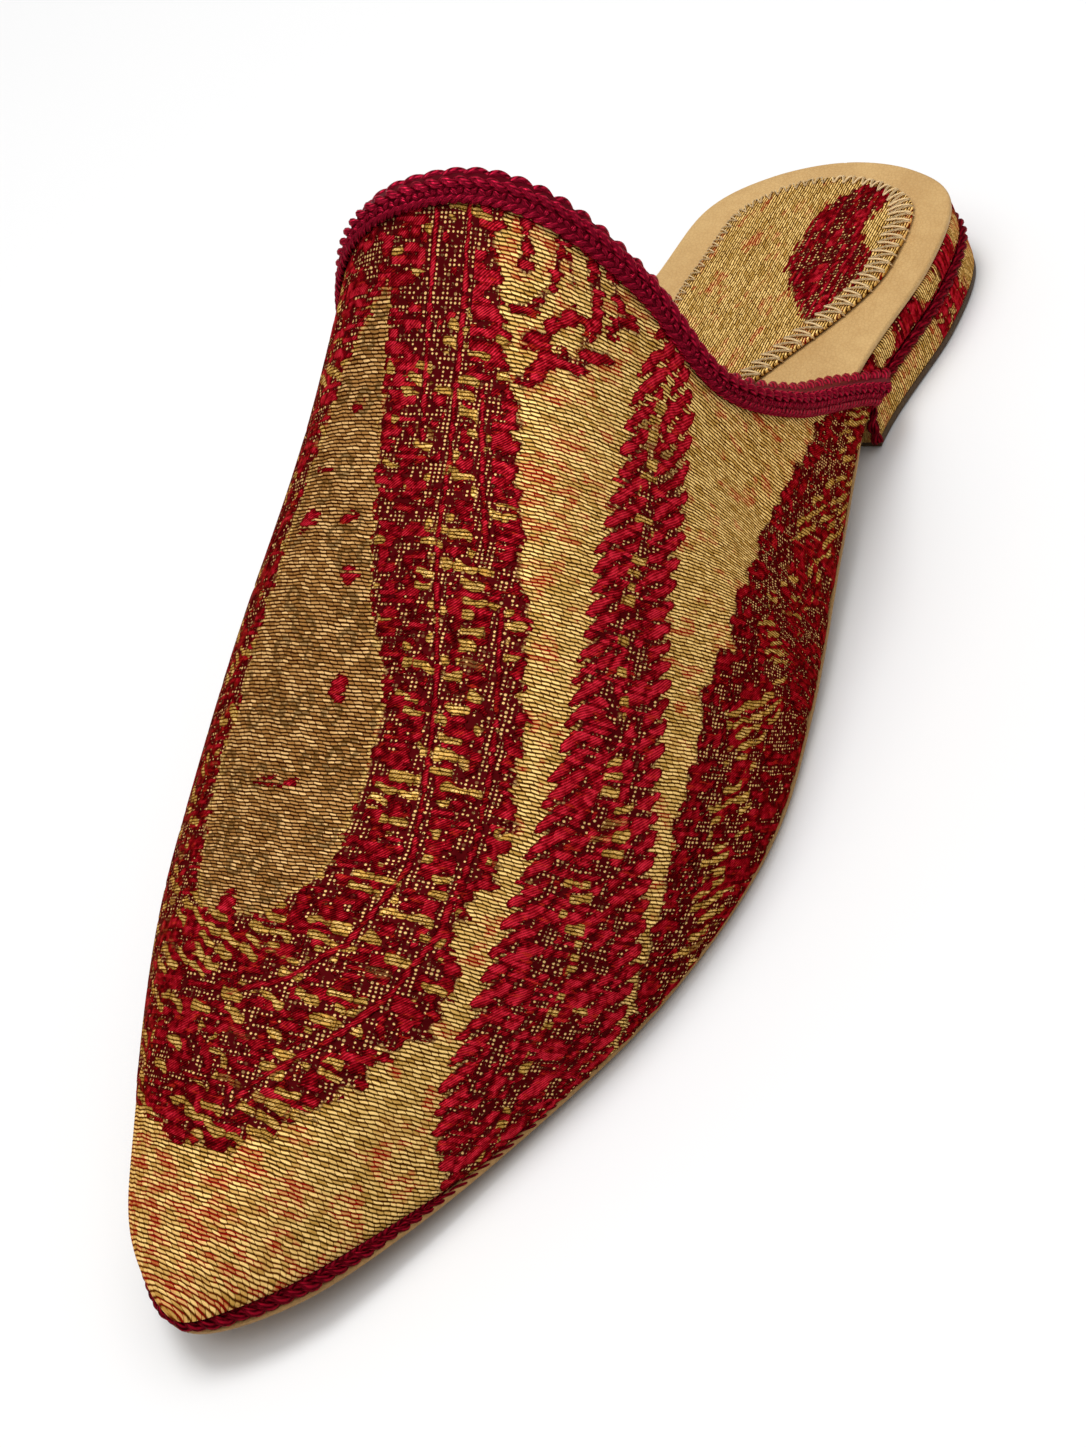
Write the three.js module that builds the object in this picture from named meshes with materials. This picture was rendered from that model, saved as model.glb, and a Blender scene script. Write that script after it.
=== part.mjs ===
// Brocade mule slipper (babouche), left foot. Millimetres, +Z up, toe toward -Y, lateral side on +X.
import * as THREE from 'three';

// Driving sizes
const length = 258;          // heel back to toe tip
const heelRise = 7.1;        // underside of the outsole above the floor at the heel
const breast = 63;           // station of the heel's front face
const treadStart = 150;      // flat part of the forefoot, on the floor
const treadEnd = 172;
const toeSpring = 6.1;       // lift of the outsole at the toe tip
const soleThick = 1.8;
const liftThick = 1.2;
const insoleThick = 1.5;
const sockThick = 0.8;
const sockEnd = 71;          // rounded front end of the sock panel
const sockTurn = 33;         // its sides begin to close in here
const heelPad = 5.3;         // insole's underside above the outsole at the heel
const forePad = 0.3;         // the same at the ball
const randEnd = 124;         // where the rand has tapered out under the foot
const wall = 2;              // brocade and lining together
const gap = 0.25;            // between neighbouring pieces
const cordStart = 188;       // the upper's lower edge lifts off the outsole from here to show the welt cord
const cordFull = 240;
const cordRoom = 2;          // how far it lifts at the toe
const pipingRadius = 1.1;
const pipingInset = 1;
const pipingEnd = 57;        // the piping dips behind the collar's ends here
const wingStation = 53;      // the collar's ends reach back to here
const braidHem = 4.2;        // how far the upper runs up inside the braid
const middleX = 1.7;          // middle of the whole width, moved onto x = 0
const turns = 44;            // steps round the vamp, shared by the upper and the braid so that they nest

// One row for each section of the last: outsole edge on both sides, ridge of the vamp above the outsole
const sections = [
  { station: 0, lateral: 0.3, medial: 0.3, crest: 95 },
  { station: 3.5, lateral: 16, medial: -15, crest: 95 },
  { station: 13, lateral: 27.4, medial: -25.3, crest: 95 },
  { station: 32, lateral: 30.3, medial: -27.7, crest: 95 },
  { station: 62, lateral: 27.9, medial: -30.6, crest: 95 },
  { station: 95, lateral: 34.3, medial: -32, crest: 90.5 },
  { station: 128, lateral: 41.2, medial: -38, crest: 71 },
  { station: 158, lateral: 45, medial: -41.3, crest: 56.8 },
  { station: 186, lateral: 40.8, medial: -40.4, crest: 43 },
  { station: 212, lateral: 31.1, medial: -33.5, crest: 34 },
  { station: 234, lateral: 20.8, medial: -25.3, crest: 24 },
  { station: 250, lateral: 10.1, medial: -16.6, crest: 13.7 },
  { station: 258, lateral: -3.6, medial: -3.6, crest: 3.2 },
];
const lastRow = sections.length - 1;

// Station of the braid's lower edge every 15 degrees round the vamp, lateral sole to medial sole
const collarStations = [62, 90.5, 106, 105.7, 105.7, 106.2, 107.2, 108.4, 109.2, 109, 105, 89.5, 62];

const clamp = (v) => Math.min(1, Math.max(0, v));
const smooth = (v) => clamp(v) ** 2 * (3 - 2 * clamp(v));
const mix = (a, b, t) => a + (b - a) * t;

// Catmull-Rom value between four neighbouring numbers
function between(a, b, c, d, t) {
  const [second, third] = [2 * a - 5 * b + 4 * c - d, 3 * b - a - 3 * c + d];
  return 0.5 * (2 * b + (c - a) * t + second * t * t + third * t ** 3);
}

// Value of a list at a fractional row; before and after stand for the rows beyond its ends
function along(list, row, before, after) {
  const whole = [before, ...list, after];
  const i = Math.min(Math.max(Math.floor(row), 0), list.length - 2);
  return between(whole[i], whole[i + 1], whole[i + 2], whole[i + 3], row - i);
}

const column = (name) => sections.map((r) => r[name]);
const [stations, laterals, medials, crests] = ['station', 'lateral', 'medial', 'crest'].map(column);

// Past heel and toe each side runs on into the other, so that both ends are round
function sectionAt(row) {
  return {
    station: along(stations, row, stations[1], stations[lastRow - 1]),
    lateral: along(laterals, row, medials[1], medials[lastRow - 1]),
    medial: along(medials, row, laterals[1], laterals[lastRow - 1]),
    crest: along(crests, row, crests[0], 2 * crests[lastRow] - crests[lastRow - 1]),
  };
}

// Row at which the last reaches a station
function rowAt(station) {
  let low = 0;
  let high = lastRow;
  for (let k = 0; k < 40; k += 1) {
    const middle = (low + high) / 2;
    if (sectionAt(middle).station < station) low = middle;
    else high = middle;
  }
  return low;
}

// Heights along the shoe
const soleUnder = (s) => heelRise * smooth((treadStart - s) / (treadStart - breast))
  + toeSpring * clamp((s - treadEnd) / (length - treadEnd)) ** 2;
const soleTop = (s) => soleUnder(s) + soleThick;
const insoleUnder = (s) => soleTop(s)
  + mix(forePad, heelPad, smooth((treadStart - s) / (treadStart - breast)));
const insoleTop = (s) => insoleUnder(s) + insoleThick;

// Outsole edge in plan, moved inward along its own normal: [x, station]
function edge(row, side, inset) {
  const name = side > 0 ? 'lateral' : 'medial';
  const step = 0.02;
  const a = sectionAt(Math.max(0, row - step));
  const b = sectionAt(Math.min(lastRow, row + step));
  const here = sectionAt(row);
  const dx = b[name] - a[name];
  const ds = b.station - a.station;
  const size = Math.hypot(dx, ds);
  return [here[name] - (side * inset * ds) / size, here.station + (side * inset * dx) / size];
}

const place = (x, station, z) => [x - middleX, length / 2 - station, z];

// Closed mesh from points and triangles, turned outward
function shell(name, points, triangles, material) {
  let volume = 0;
  const at = (i) => points[i];
  triangles.forEach(([a, b, c]) => {
    const [p, q, r] = [at(a), at(b), at(c)];
    volume += p[0] * (q[1] * r[2] - q[2] * r[1]) - p[1] * (q[0] * r[2] - q[2] * r[0])
      + p[2] * (q[0] * r[1] - q[1] * r[0]);
  });
  const faces = volume < 0 ? triangles.map(([a, b, c]) => [a, c, b]) : triangles;
  const geometry = new THREE.BufferGeometry();
  geometry.setAttribute('position', new THREE.Float32BufferAttribute(points.flat(), 3));
  geometry.setIndex(faces.flat());
  geometry.computeVertexNormals();
  const mesh = new THREE.Mesh(geometry, material);
  mesh.name = name;
  return mesh;
}

// Solid from rings of equal size, closed at each end by the triangles of cap
function loft(name, rings, material, cap) {
  const n = rings[0].length;
  const points = rings.flat();
  const triangles = [];
  for (let j = 0; j + 1 < rings.length; j += 1) {
    for (let i = 0; i < n; i += 1) {
      const k = (i + 1) % n;
      const [a, b, c, d] = [j * n + i, j * n + k, (j + 1) * n + k, (j + 1) * n + i];
      triangles.push([a, b, c], [a, c, d]);
    }
  }
  const end = (rings.length - 1) * n;
  const fan = Array.from({ length: n - 2 }, (_, i) => [0, i + 1, i + 2]);
  (cap || fan).forEach(([a, b, c]) => triangles.push([a, c, b], [end + a, end + b, end + c]));
  return shell(name, points, triangles, material);
}

function spread(first, last, count) {
  return Array.from({ length: count + 1 }, (_, i) => mix(first, last, i / count));
}

// Plate that follows the outsole's outline: inset(row, side, level), level 0 under and 1 on top
function plate(name, rows, inset, under, top, across, soften, material) {
  const rings = rows.map((row) => {
    const corner = (side, level) => edge(row, side, inset(row, side, level));
    const line = (level, height) => {
      const [m, l] = [corner(-1, level), corner(1, level)];
      return spread(0, 1, across).map((t) => {
        const [x, s] = [mix(m[0], l[0], t), mix(m[1], l[1], t)];
        return place(x, s, height(s));
      });
    };
    const bevel = (side, level, height) => {
      const [x, s] = edge(row, side, inset(row, side, level) - soften);
      return place(x, s, height(s) + (level > 0 ? -soften : soften));
    };
    return [...line(0, under), bevel(1, 0, under), bevel(1, 1, top),
      ...line(1, top).reverse(), bevel(-1, 1, top), bevel(-1, 0, under)];
  });
  return loft(name, rings, material);
}

// Round cord along a path of { centre, out } with out level and square to the path
function cord(name, path, radius, sides, material) {
  const rings = path.map(({ centre, out }) => Array.from({ length: sides }, (_, i) => {
    const a = (2 * Math.PI * (i + 0.5)) / sides;
    const size = radius(length / 2 - centre[1]);
    const [c, s] = [size * Math.cos(a), size * Math.sin(a)];
    return [centre[0] + out[0] * c, centre[1] + out[1] * c, centre[2] + s];
  }));
  return loft(name, rings, material);
}

function cordPath(rows, inset, height) {
  const points = rows.map(([row, side]) => {
    const [x0, s0] = edge(row, side, inset);
    const [x1, s1] = edge(row, side, inset - 1);
    const centre = place(x0, s0, height(s0));
    return { centre, out: [x1 - x0, -(s1 - s0)] };
  });
  return points;
}

// Lower edge of the upper above the outsole
const edgeLift = (s) => gap + cordRoom * smooth((s - cordStart) / (cordFull - cordStart));

// The vamp's outer face: row along the last, angle 0 at the lateral sole to pi at the medial sole
function vampPoint(row, angle) {
  const { station, lateral, medial, crest } = sectionAt(row);
  const width = lateral - medial;
  const power = mix(2.4, 2.6, smooth((station - 90) / 60)) - 0.4 * smooth((station - 190) / 60);
  const [c, s] = [Math.cos(angle), Math.abs(Math.sin(angle))];
  const reach = (Math.abs(c) ** power + s ** power) ** (-1 / power);
  const rise = Math.max(crest - edgeLift(station), 0) * reach * s;
  const overhang = mix(0.9, -1.2, smooth((station - 192) / 50)) - 0.5 * clamp(1 - rise / 4) ** 2;
  const half = Math.max(width / 2 + overhang * Math.min(1, width / 16), 0.02);
  const lean = mix(-4.2, -2, clamp((station - 120) / (length - 120))) * Math.min(1, width / 24);
  const x = (lateral + medial) / 2 + half * reach * c + lean * s * s;
  return place(x, station, soleTop(station) + edgeLift(station) + rise);
}

function vampFrame(row, angle) {
  const step = 0.004;
  const v = (a, b) => new THREE.Vector3(...vampPoint(a, b));
  const lengthwise = v(row + step, angle).sub(v(row - step, angle)).divideScalar(2 * step);
  const [a0, a1] = [Math.max(0, angle - step), Math.min(Math.PI, angle + step)];
  const around = v(row, a1).sub(v(row, a0));
  const normal = new THREE.Vector3().crossVectors(around, lengthwise).normalize();
  if (normal.dot(new THREE.Vector3(Math.cos(angle), -0.2, Math.sin(angle))) < 0) normal.negate();
  return { lengthwise, normal };
}

function vampOffset(row, angle, out) {
  const p = new THREE.Vector3(...vampPoint(row, angle));
  return p.addScaledVector(vampFrame(row, angle).normal, out).toArray();
}

const collarRow = (angle) => rowAt(along(collarStations, (angle / Math.PI) * 12,
  2 * collarStations[0] - collarStations[1], 2 * collarStations[12] - collarStations[11]));

// Row that lies a distance back from the collar line, square to it where the line runs askew
function behindCollar(angle, distance) {
  const row = collarRow(angle);
  const { lengthwise } = vampFrame(row, angle);
  const step = 0.01;
  const [a0, a1] = [Math.max(0, angle - step), Math.min(Math.PI, angle + step)];
  const v = (a) => new THREE.Vector3(...vampPoint(collarRow(a), a));
  const line = v(a1).sub(v(a0)).normalize();
  const sine = new THREE.Vector3().crossVectors(line, lengthwise.clone().normalize()).length();
  return row - (distance * Math.min(1.5, 1 / sine)) / lengthwise.length();
}

// Steps round the vamp, closer together near the sole where the collar line runs slantwise
const angles = spread(0, 1, turns).map((t) => Math.PI * t - 0.24 * Math.sin(2 * Math.PI * t));

// Hollow shell: outer and inner faces joined along the sole and collar edges, zipped at the toe
function makeUpper(material) {
  const [around, lengthwise] = [turns, 25];
  const toeRow = lastRow - 0.07;
  const points = [];
  [0, -wall].forEach((out) => {
    for (let j = 0; j <= lengthwise; j += 1) {
      for (let i = 0; i <= around; i += 1) {
        const angle = angles[i];
        const row = mix(behindCollar(angle, braidHem), toeRow, j / lengthwise);
        points.push(vampOffset(row, angle, out));
      }
    }
  });
  const layer = (lengthwise + 1) * (around + 1);
  const id = (k, j, i) => k * layer + j * (around + 1) + i;
  const triangles = [];
  const quad = (a, b, c, d) => triangles.push([a, b, c], [a, c, d]);
  for (let j = 0; j < lengthwise; j += 1) {
    for (let i = 0; i < around; i += 1) {
      quad(id(0, j, i), id(0, j + 1, i), id(0, j + 1, i + 1), id(0, j, i + 1));
      quad(id(1, j, i), id(1, j, i + 1), id(1, j + 1, i + 1), id(1, j + 1, i));
    }
    quad(id(0, j, 0), id(1, j, 0), id(1, j + 1, 0), id(0, j + 1, 0));
    quad(id(0, j, around), id(0, j + 1, around), id(1, j + 1, around), id(1, j, around));
  }
  for (let i = 0; i < around; i += 1) {
    quad(id(0, 0, i), id(0, 0, i + 1), id(1, 0, i + 1), id(1, 0, i));
  }
  const last = lengthwise;
  for (let i = 0; i < around / 2; i += 1) {
    const k = around - i;
    if (i + 1 < around / 2) {
      quad(id(0, last, i), id(0, last, k), id(0, last, k - 1), id(0, last, i + 1));
      quad(id(1, last, i), id(1, last, i + 1), id(1, last, k - 1), id(1, last, k));
    } else {
      triangles.push([id(0, last, i), id(0, last, k), id(0, last, i + 1)]);
      triangles.push([id(1, last, i), id(1, last, i + 1), id(1, last, k)]);
    }
  }
  quad(id(0, last, 0), id(1, last, 0), id(1, last, around), id(0, last, around));
  return shell('upper', points, triangles, material);
}

// Section of the binding folded over the collar edge: back from the collar line, out from the upper's face
const braidSection = [
  { back: 0, out: 0.55 }, { back: -0.3, out: 1.2 }, { back: 0.9, out: 1.7 }, { back: 3.6, out: 1.6 },
  { back: 5.5, out: 0.9 }, { back: 6, out: -1 }, { back: 5.5, out: -2.8 }, { back: 3.8, out: -3.5 },
  { back: 0.6, out: -3.4 }, { back: 0.3, out: -2.7 }, { back: 4.9, out: -2.7 }, { back: 4.9, out: 0.55 },
];

function makeBraid(material) {
  const rings = angles.map((angle) => braidSection.map(
    ({ back, out }) => vampOffset(behindCollar(angle, back), angle, out)));
  const outline = braidSection.map(({ back, out }) => new THREE.Vector2(back, out));
  const cap = THREE.ShapeUtils.triangulateShape(outline, []).map(([a, b, c]) => [a, c, b]);
  return loft('collar_braid', rings, material, cap);
}

function makeOutsole(material) {
  const rows = [...spread(0.06, 1, 6), ...spread(1.2, rowAt(pipingEnd - 2), 8),
    ...spread(rowAt(pipingEnd + 0.5), rowAt(pipingEnd + 6), 4), ...spread(rowAt(72), lastRow - 1, 22),
    ...spread(lastRow - 0.85, lastRow - 0.06, 7)];
  const deep = pipingInset + pipingRadius + gap;
  const inset = (row) => 0.3 + deep * smooth((pipingEnd + 5.5 - sectionAt(row).station) / 4);
  return plate('outsole', rows, inset, soleUnder, soleTop, 3, 0.3, material);
}

function makeLift(material) {
  const rows = [...spread(0.06, 1, 6), ...spread(1.25, rowAt(breast - 0.6), 9)];
  return plate('heel_lift', rows, () => 0.7, () => 0, () => liftThick, 2, 0.2, material);
}

function makeHeel(material) {
  const rows = [...spread(0.06, 1, 7), ...spread(1.2, rowAt(breast), 10)];
  const inset = (row, side, level) => (level > 0 ? 0.8 : 0.5);
  return plate('heel', rows, inset, () => liftThick + gap, () => heelRise - gap, 2, 0.4, material);
}

function makePiping(material) {
  const side = [...spread(rowAt(pipingEnd), 1.1, 12), ...spread(0.95, 0.05, 8)];
  const rows = [...side.map((r) => [r, 1]), ...[...side].reverse().map((r) => [r, -1])];
  const path = cordPath(rows, pipingInset, () => heelRise + soleThick / 2);
  return cord('heel_piping', path, () => pipingRadius, 8, material);
}

// Rand and insole stand flush at the heel and step in where the upper's wings close round them
const wingInset = (row, flush, inside) => mix(
  flush, inside, smooth(sectionAt(row).station - wingStation + 1.2));

function makeRand(material) {
  const rows = [...spread(0.06, 1, 7), ...spread(1.2, rowAt(wingStation - 3), 8),
    ...spread(rowAt(wingStation - 1.3), rowAt(wingStation - 0.2), 3),
    ...spread(rowAt(60), rowAt(randEnd), 8)];
  return plate('rand', rows, (row) => wingInset(row, 0.9, 4.8), (s) => soleTop(s) + gap,
    (s) => insoleUnder(s) - gap - 0.1, 3, 0.3, material);
}

function makeInsole(material) {
  const rows = [...spread(0.06, 1, 7), ...spread(1.2, rowAt(wingStation - 3), 8),
    ...spread(rowAt(wingStation - 1.3), rowAt(wingStation - 0.2), 3), ...spread(rowAt(60), 11, 16),
    ...spread(11.2, lastRow - 0.2, 4)];
  const inset = (row) => wingInset(row, 0.9, mix(4.6, 3.4, smooth((sectionAt(row).station - 90) / 40)));
  return plate('insole', rows, inset, insoleUnder, insoleTop, 3, 0.4, material);
}

function makeSock(material) {
  const rows = [...spread(0.06, 1, 7), ...spread(1.25, rowAt(sockTurn), 5),
    ...spread(rowAt(38), rowAt(sockEnd), 14)];
  const inset = (row, side) => {
    const close = clamp((sectionAt(row).station - sockTurn) / (sockEnd - sockTurn)) ** 2.2;
    return mix(6.8, side > 0 ? 7.5 : 9.8, smooth(row / 2)) + (side > 0 ? 21.4 : 19.1) * close;
  };
  const lift = (s) => insoleTop(s) + 0.3;
  return plate('sock_panel', rows, inset, lift, (s) => lift(s) + sockThick, 3, 0.2, material);
}

function makeWelt(material) {
  const side = [...spread(rowAt(cordStart + 12), 10.6, 18), ...spread(10.8, lastRow - 0.05, 8)];
  const rows = [...side.map((r) => [r, 1]), ...[...side].reverse().map((r) => [r, -1])];
  const radius = (s) => (edgeLift(s) - 0.2) / 2;
  return cord('welt_cord', cordPath(rows, 1.3, (s) => soleTop(s) + radius(s) + 0.1), radius, 8, material);
}

const paint = (color, roughness) => new THREE.MeshStandardMaterial({ color, roughness });
const brocade = paint('#a8803f', 0.7);
const crimson = paint('#7d1030', 0.6);
const tan = paint('#c9a16a', 0.6);
const dark = paint('#3a2a20', 0.8);

const shoe = new THREE.Group();
shoe.name = 'babouche';
shoe.add(
  makeLift(dark), makeHeel(brocade), makeOutsole(tan), makePiping(crimson), makeRand(brocade),
  makeInsole(tan), makeSock(brocade), makeWelt(crimson), makeUpper(brocade), makeBraid(crimson),
);

export default shoe;
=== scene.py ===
# Brocade mule slipper: cloth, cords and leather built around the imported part
import math

import bpy
import numpy as np
from mathutils import Matrix, Vector
from mathutils.geometry import tessellate_polygon


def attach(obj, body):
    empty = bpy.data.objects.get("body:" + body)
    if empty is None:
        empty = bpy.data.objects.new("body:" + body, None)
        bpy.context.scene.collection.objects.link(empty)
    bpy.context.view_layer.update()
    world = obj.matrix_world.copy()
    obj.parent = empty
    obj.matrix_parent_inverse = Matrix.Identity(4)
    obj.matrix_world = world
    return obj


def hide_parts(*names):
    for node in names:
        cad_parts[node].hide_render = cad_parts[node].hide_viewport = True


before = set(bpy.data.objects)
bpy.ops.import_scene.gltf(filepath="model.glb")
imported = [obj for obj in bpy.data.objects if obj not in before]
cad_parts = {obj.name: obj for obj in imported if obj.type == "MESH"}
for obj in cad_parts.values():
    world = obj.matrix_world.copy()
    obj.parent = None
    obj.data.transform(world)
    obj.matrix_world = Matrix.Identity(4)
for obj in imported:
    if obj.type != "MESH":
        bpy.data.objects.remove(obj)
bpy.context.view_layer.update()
print("frame loaded:", sorted(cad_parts))

# The last, in millimetres: the values of the part's source, but the welt cord's room starts nearer the toe
last = dict(length=258.0, heelRise=7.1, breast=63.0, treadStart=150.0, treadEnd=172.0, toeSpring=6.1,
            soleThick=1.8, liftThick=1.2, insoleThick=1.5, heelPad=5.3, forePad=0.3, randEnd=124.0, wall=2.0,
            gap=0.25, cordStart=220.0, cordFull=250.0, cordRoom=2.0, braidHem=4.2, middleX=1.7)
# station, lateral edge, medial edge, ridge of the vamp
sections = np.array([
    (0, 0.3, 0.3, 95), (3.5, 16, -15, 95), (13, 27.4, -25.3, 95), (32, 30.3, -27.7, 95),
    (62, 27.9, -30.6, 95), (95, 34.3, -32, 90.5), (128, 41.2, -38, 71), (158, 45, -41.3, 56.8),
    (186, 40.8, -40.4, 43), (212, 31.1, -33.5, 34), (234, 20.8, -25.3, 24), (250, 10.1, -16.6, 13.7),
    (258, -3.6, -3.6, 3.2)], float)
# stations of the collar line at even angles, from the lateral to the medial side
collarStations = np.array([
    62, 90.5, 106, 105.7, 105.7, 106.2, 107.2, 108.4, 109.2, 109, 105, 89.5, 62], float)
lastRow = len(sections) - 1


def clamp(v):
    return np.clip(v, 0, 1)


def smooth(v):
    return clamp(v) ** 2 * (3 - 2 * clamp(v))


def mix(a, b, t):
    return a + (b - a) * t


def unit(v):
    return v / np.linalg.norm(v, axis=-1, keepdims=True)


# Length along a path at each of its points
def lengths(path):
    return np.concatenate([[0], np.cumsum(np.linalg.norm(np.diff(path, axis=0), axis=-1))])


# Curve through four values at a share of the way from the second to the third, after Catmull and Rom
def curve(a, b, c, d, t):
    square, cube = 2 * a - 5 * b + 4 * c - d, 3 * b - a - 3 * c + d
    return 0.5 * (2 * b + (c - a) * t + square * t ** 2 + cube * t ** 3)


# Curve value of a list at fractional rows; before and after stand for the rows beyond its ends
def along(values, row, before, after):
    whole = np.concatenate([[before], values, [after]])
    i = np.clip(np.floor(row).astype(int), 0, len(values) - 2)
    return curve(whole[i], whole[i + 1], whole[i + 2], whole[i + 3], row - i)


# Station, lateral edge, medial edge and crest at a row; past heel and toe the edges swap sides
def sectionAt(row):
    station, lateral, medial, crest = sections.T
    row = np.asarray(row, float)
    return (along(station, row, station[1], station[-2]), along(lateral, row, medial[1], medial[-2]),
            along(medial, row, lateral[1], lateral[-2]),
            along(crest, row, crest[0], 2 * crest[-1] - crest[-2]))


fineRows = np.linspace(0, lastRow, 12001)
fineStations = sectionAt(fineRows)[0]


def rowAt(station):
    return np.interp(station, fineStations, fineRows)


# Heights along the shoe: share of the heel's rise, underside and top of the outsole, then of the insole
def heelShare(s):
    return smooth((last["treadStart"] - s) / (last["treadStart"] - last["breast"]))


def soleUnder(s):
    return (last["heelRise"] * heelShare(s)
            + last["toeSpring"] * clamp((s - last["treadEnd"]) / (last["length"] - last["treadEnd"])) ** 2)


def soleTop(s):
    return soleUnder(s) + last["soleThick"]


def insoleUnder(s):
    return soleTop(s) + mix(last["forePad"], last["heelPad"], heelShare(s))


def insoleTop(s):
    return insoleUnder(s) + last["insoleThick"]


def edgeLift(s):
    share = (s - last["cordStart"]) / (last["cordFull"] - last["cordStart"])
    return last["gap"] + last["cordRoom"] * smooth(share)


def place(x, s, z):
    return np.stack(np.broadcast_arrays(x - last["middleX"], last["length"] / 2 - s, z), -1)


# Outsole edge in plan, moved inward along its own normal
def edgeLine(row, side, inset):
    low, high, here = (sectionAt(np.clip(row + d, 0, lastRow)) for d in (-0.02, 0.02, 0))
    k = 1 if side > 0 else 2
    dx, ds = high[k] - low[k], high[0] - low[0]
    size = np.hypot(dx, ds)
    return here[k] - side * inset * ds / size, here[0] + side * inset * dx / size


# Outer face of the vamp: a superellipse over each section, leaning a little to the medial side
def vampPoint(row, angle):
    station, lateral, medial, crest = sectionAt(row)
    width = lateral - medial
    power = mix(2.4, 2.6, smooth((station - 90) / 60)) - 0.4 * smooth((station - 190) / 60)
    c, s = np.cos(angle), np.abs(np.sin(angle))
    reach = (np.abs(c) ** power + s ** power) ** (-1 / power)
    rise = np.maximum(crest - edgeLift(station), 0) * reach * s
    overhang = mix(0.9, -1.2, smooth((station - 192) / 50)) - 0.5 * clamp(1 - rise / 4) ** 2
    half = np.maximum(width / 2 + overhang * np.minimum(1, width / 16), 0.02)
    lean = mix(-4.2, -2, clamp((station - 120) / (last["length"] - 120))) * np.minimum(1, width / 24)
    return place((lateral + medial) / 2 + half * reach * c + lean * s * s, station,
                 soleTop(station) + edgeLift(station) + rise)


def vampSlopes(row, angle):
    step = 0.004
    lengthwise = (vampPoint(row + step, angle) - vampPoint(row - step, angle)) / (2 * step)
    a0, a1 = np.maximum(0, angle - step), np.minimum(np.pi, angle + step)
    around = vampPoint(row, a1) - vampPoint(row, a0)
    normal = unit(np.cross(around, lengthwise))
    toward = np.stack(np.broadcast_arrays(np.cos(angle), -0.2, np.sin(angle)), -1)
    return lengthwise, np.where((normal * toward).sum(-1, keepdims=True) < 0, -normal, normal)


def vampOffset(row, angle, out):
    row, angle, out = np.broadcast_arrays(row, angle, out)
    return vampPoint(row, angle) + out[..., None] * vampSlopes(row, angle)[1]


def collarRow(angle):
    c = collarStations
    return rowAt(along(c, np.clip(angle, 0, np.pi) / np.pi * 12, 2 * c[0] - c[1], 2 * c[12] - c[11]))


# Row that lies a distance back from the collar line, square to it where the line runs askew
def behindCollar(angle, distance):
    row = collarRow(angle)
    lengthwise = vampSlopes(row, angle)[0]
    a0, a1 = np.maximum(0, angle - 0.01), np.minimum(np.pi, angle + 0.01)
    line = unit(vampPoint(collarRow(a1), a1) - vampPoint(collarRow(a0), a0))
    sine = np.linalg.norm(np.cross(line, unit(lengthwise)), axis=-1)
    return row - distance * np.minimum(1.5, 1 / sine) / np.linalg.norm(lengthwise, axis=-1)


# Mesh tools: grids of points become triangles, and arrays go straight into the mesh
def gridFaces(rows, columns, start=0, closed=False):
    j, i = np.meshgrid(np.arange(rows - 1), np.arange(columns if closed else columns - 1), indexing="ij")
    k = (i + 1) % columns
    a, b, c, d = j * columns + i, j * columns + k, (j + 1) * columns + k, (j + 1) * columns + i
    return start + np.stack([a, b, c, a, c, d], -1).reshape(-1, 3)


# Rings of equal, even size joined in turn, closed at both ends by strips that pair the ring's two halves
def ringFaces(rings, size, caps=True):
    faces = gridFaces(rings, size, closed=True)
    if not caps:
        return faces
    near = np.arange(size // 2 - 1)
    far = size - 1 - near
    cap = np.concatenate([np.stack([near, far - 1, near + 1], -1), np.stack([near, far, far - 1], -1)])
    return np.concatenate([faces, cap, (rings - 1) * size + cap[:, ::-1]])


# Turns a closed mesh outward by the sign of its volume
def outward(points, faces):
    p, q, r = (points[faces[:, k]] for k in range(3))
    return faces if (p * np.cross(q, r)).sum() > 0 else faces[:, ::-1]


def addToScene(name, data):
    thing = bpy.data.objects.new(name, data)
    bpy.context.scene.collection.objects.link(thing)
    return thing


def makePiece(name, points, faces, materials, nodes=(), values=None, pick=None, crease=50):
    mesh = bpy.data.meshes.new(name)
    mesh.from_pydata((points * 0.001).tolist(), [], faces.tolist())
    for material in materials:
        mesh.materials.append(material)
    for label, data in (values or {}).items():
        kind = "FLOAT_VECTOR" if data.ndim == 2 else "FLOAT"
        attribute = mesh.attributes.new(label, kind, "POINT")
        attribute.data.foreach_set("vector" if data.ndim == 2 else "value", data.astype(np.float32).ravel())
    if pick is not None:
        mesh.polygons.foreach_set("material_index", pick.astype(np.int32))
    mesh.polygons.foreach_set("use_smooth", np.ones(len(mesh.polygons), bool))
    mesh.set_sharp_from_angle(angle=math.radians(crease))
    mesh.update()
    piece = addToScene(name, mesh)
    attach(piece, "root")
    if nodes:
        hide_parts(*nodes)
    print(name, len(faces), "triangles")
    return piece


# Random helpers: smooth lattice noise, a number per row, and scattered points with the distance to the
# nearest and its own number
def softNoise(x, y, seed):
    table = np.random.default_rng(seed).random((128, 128))
    i, j = np.floor(x).astype(int), np.floor(y).astype(int)
    a, b = smooth(x - i), smooth(y - j)
    p, q, i, j = (i + 1) % 128, (j + 1) % 128, i % 128, j % 128
    return mix(mix(table[i, j], table[p, j], a), mix(table[i, q], table[p, q], a), b)


def rowNoise(v, pitch, seed):
    return np.random.default_rng(seed).random(512)[np.floor(v / pitch).astype(int) % 512]


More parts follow.
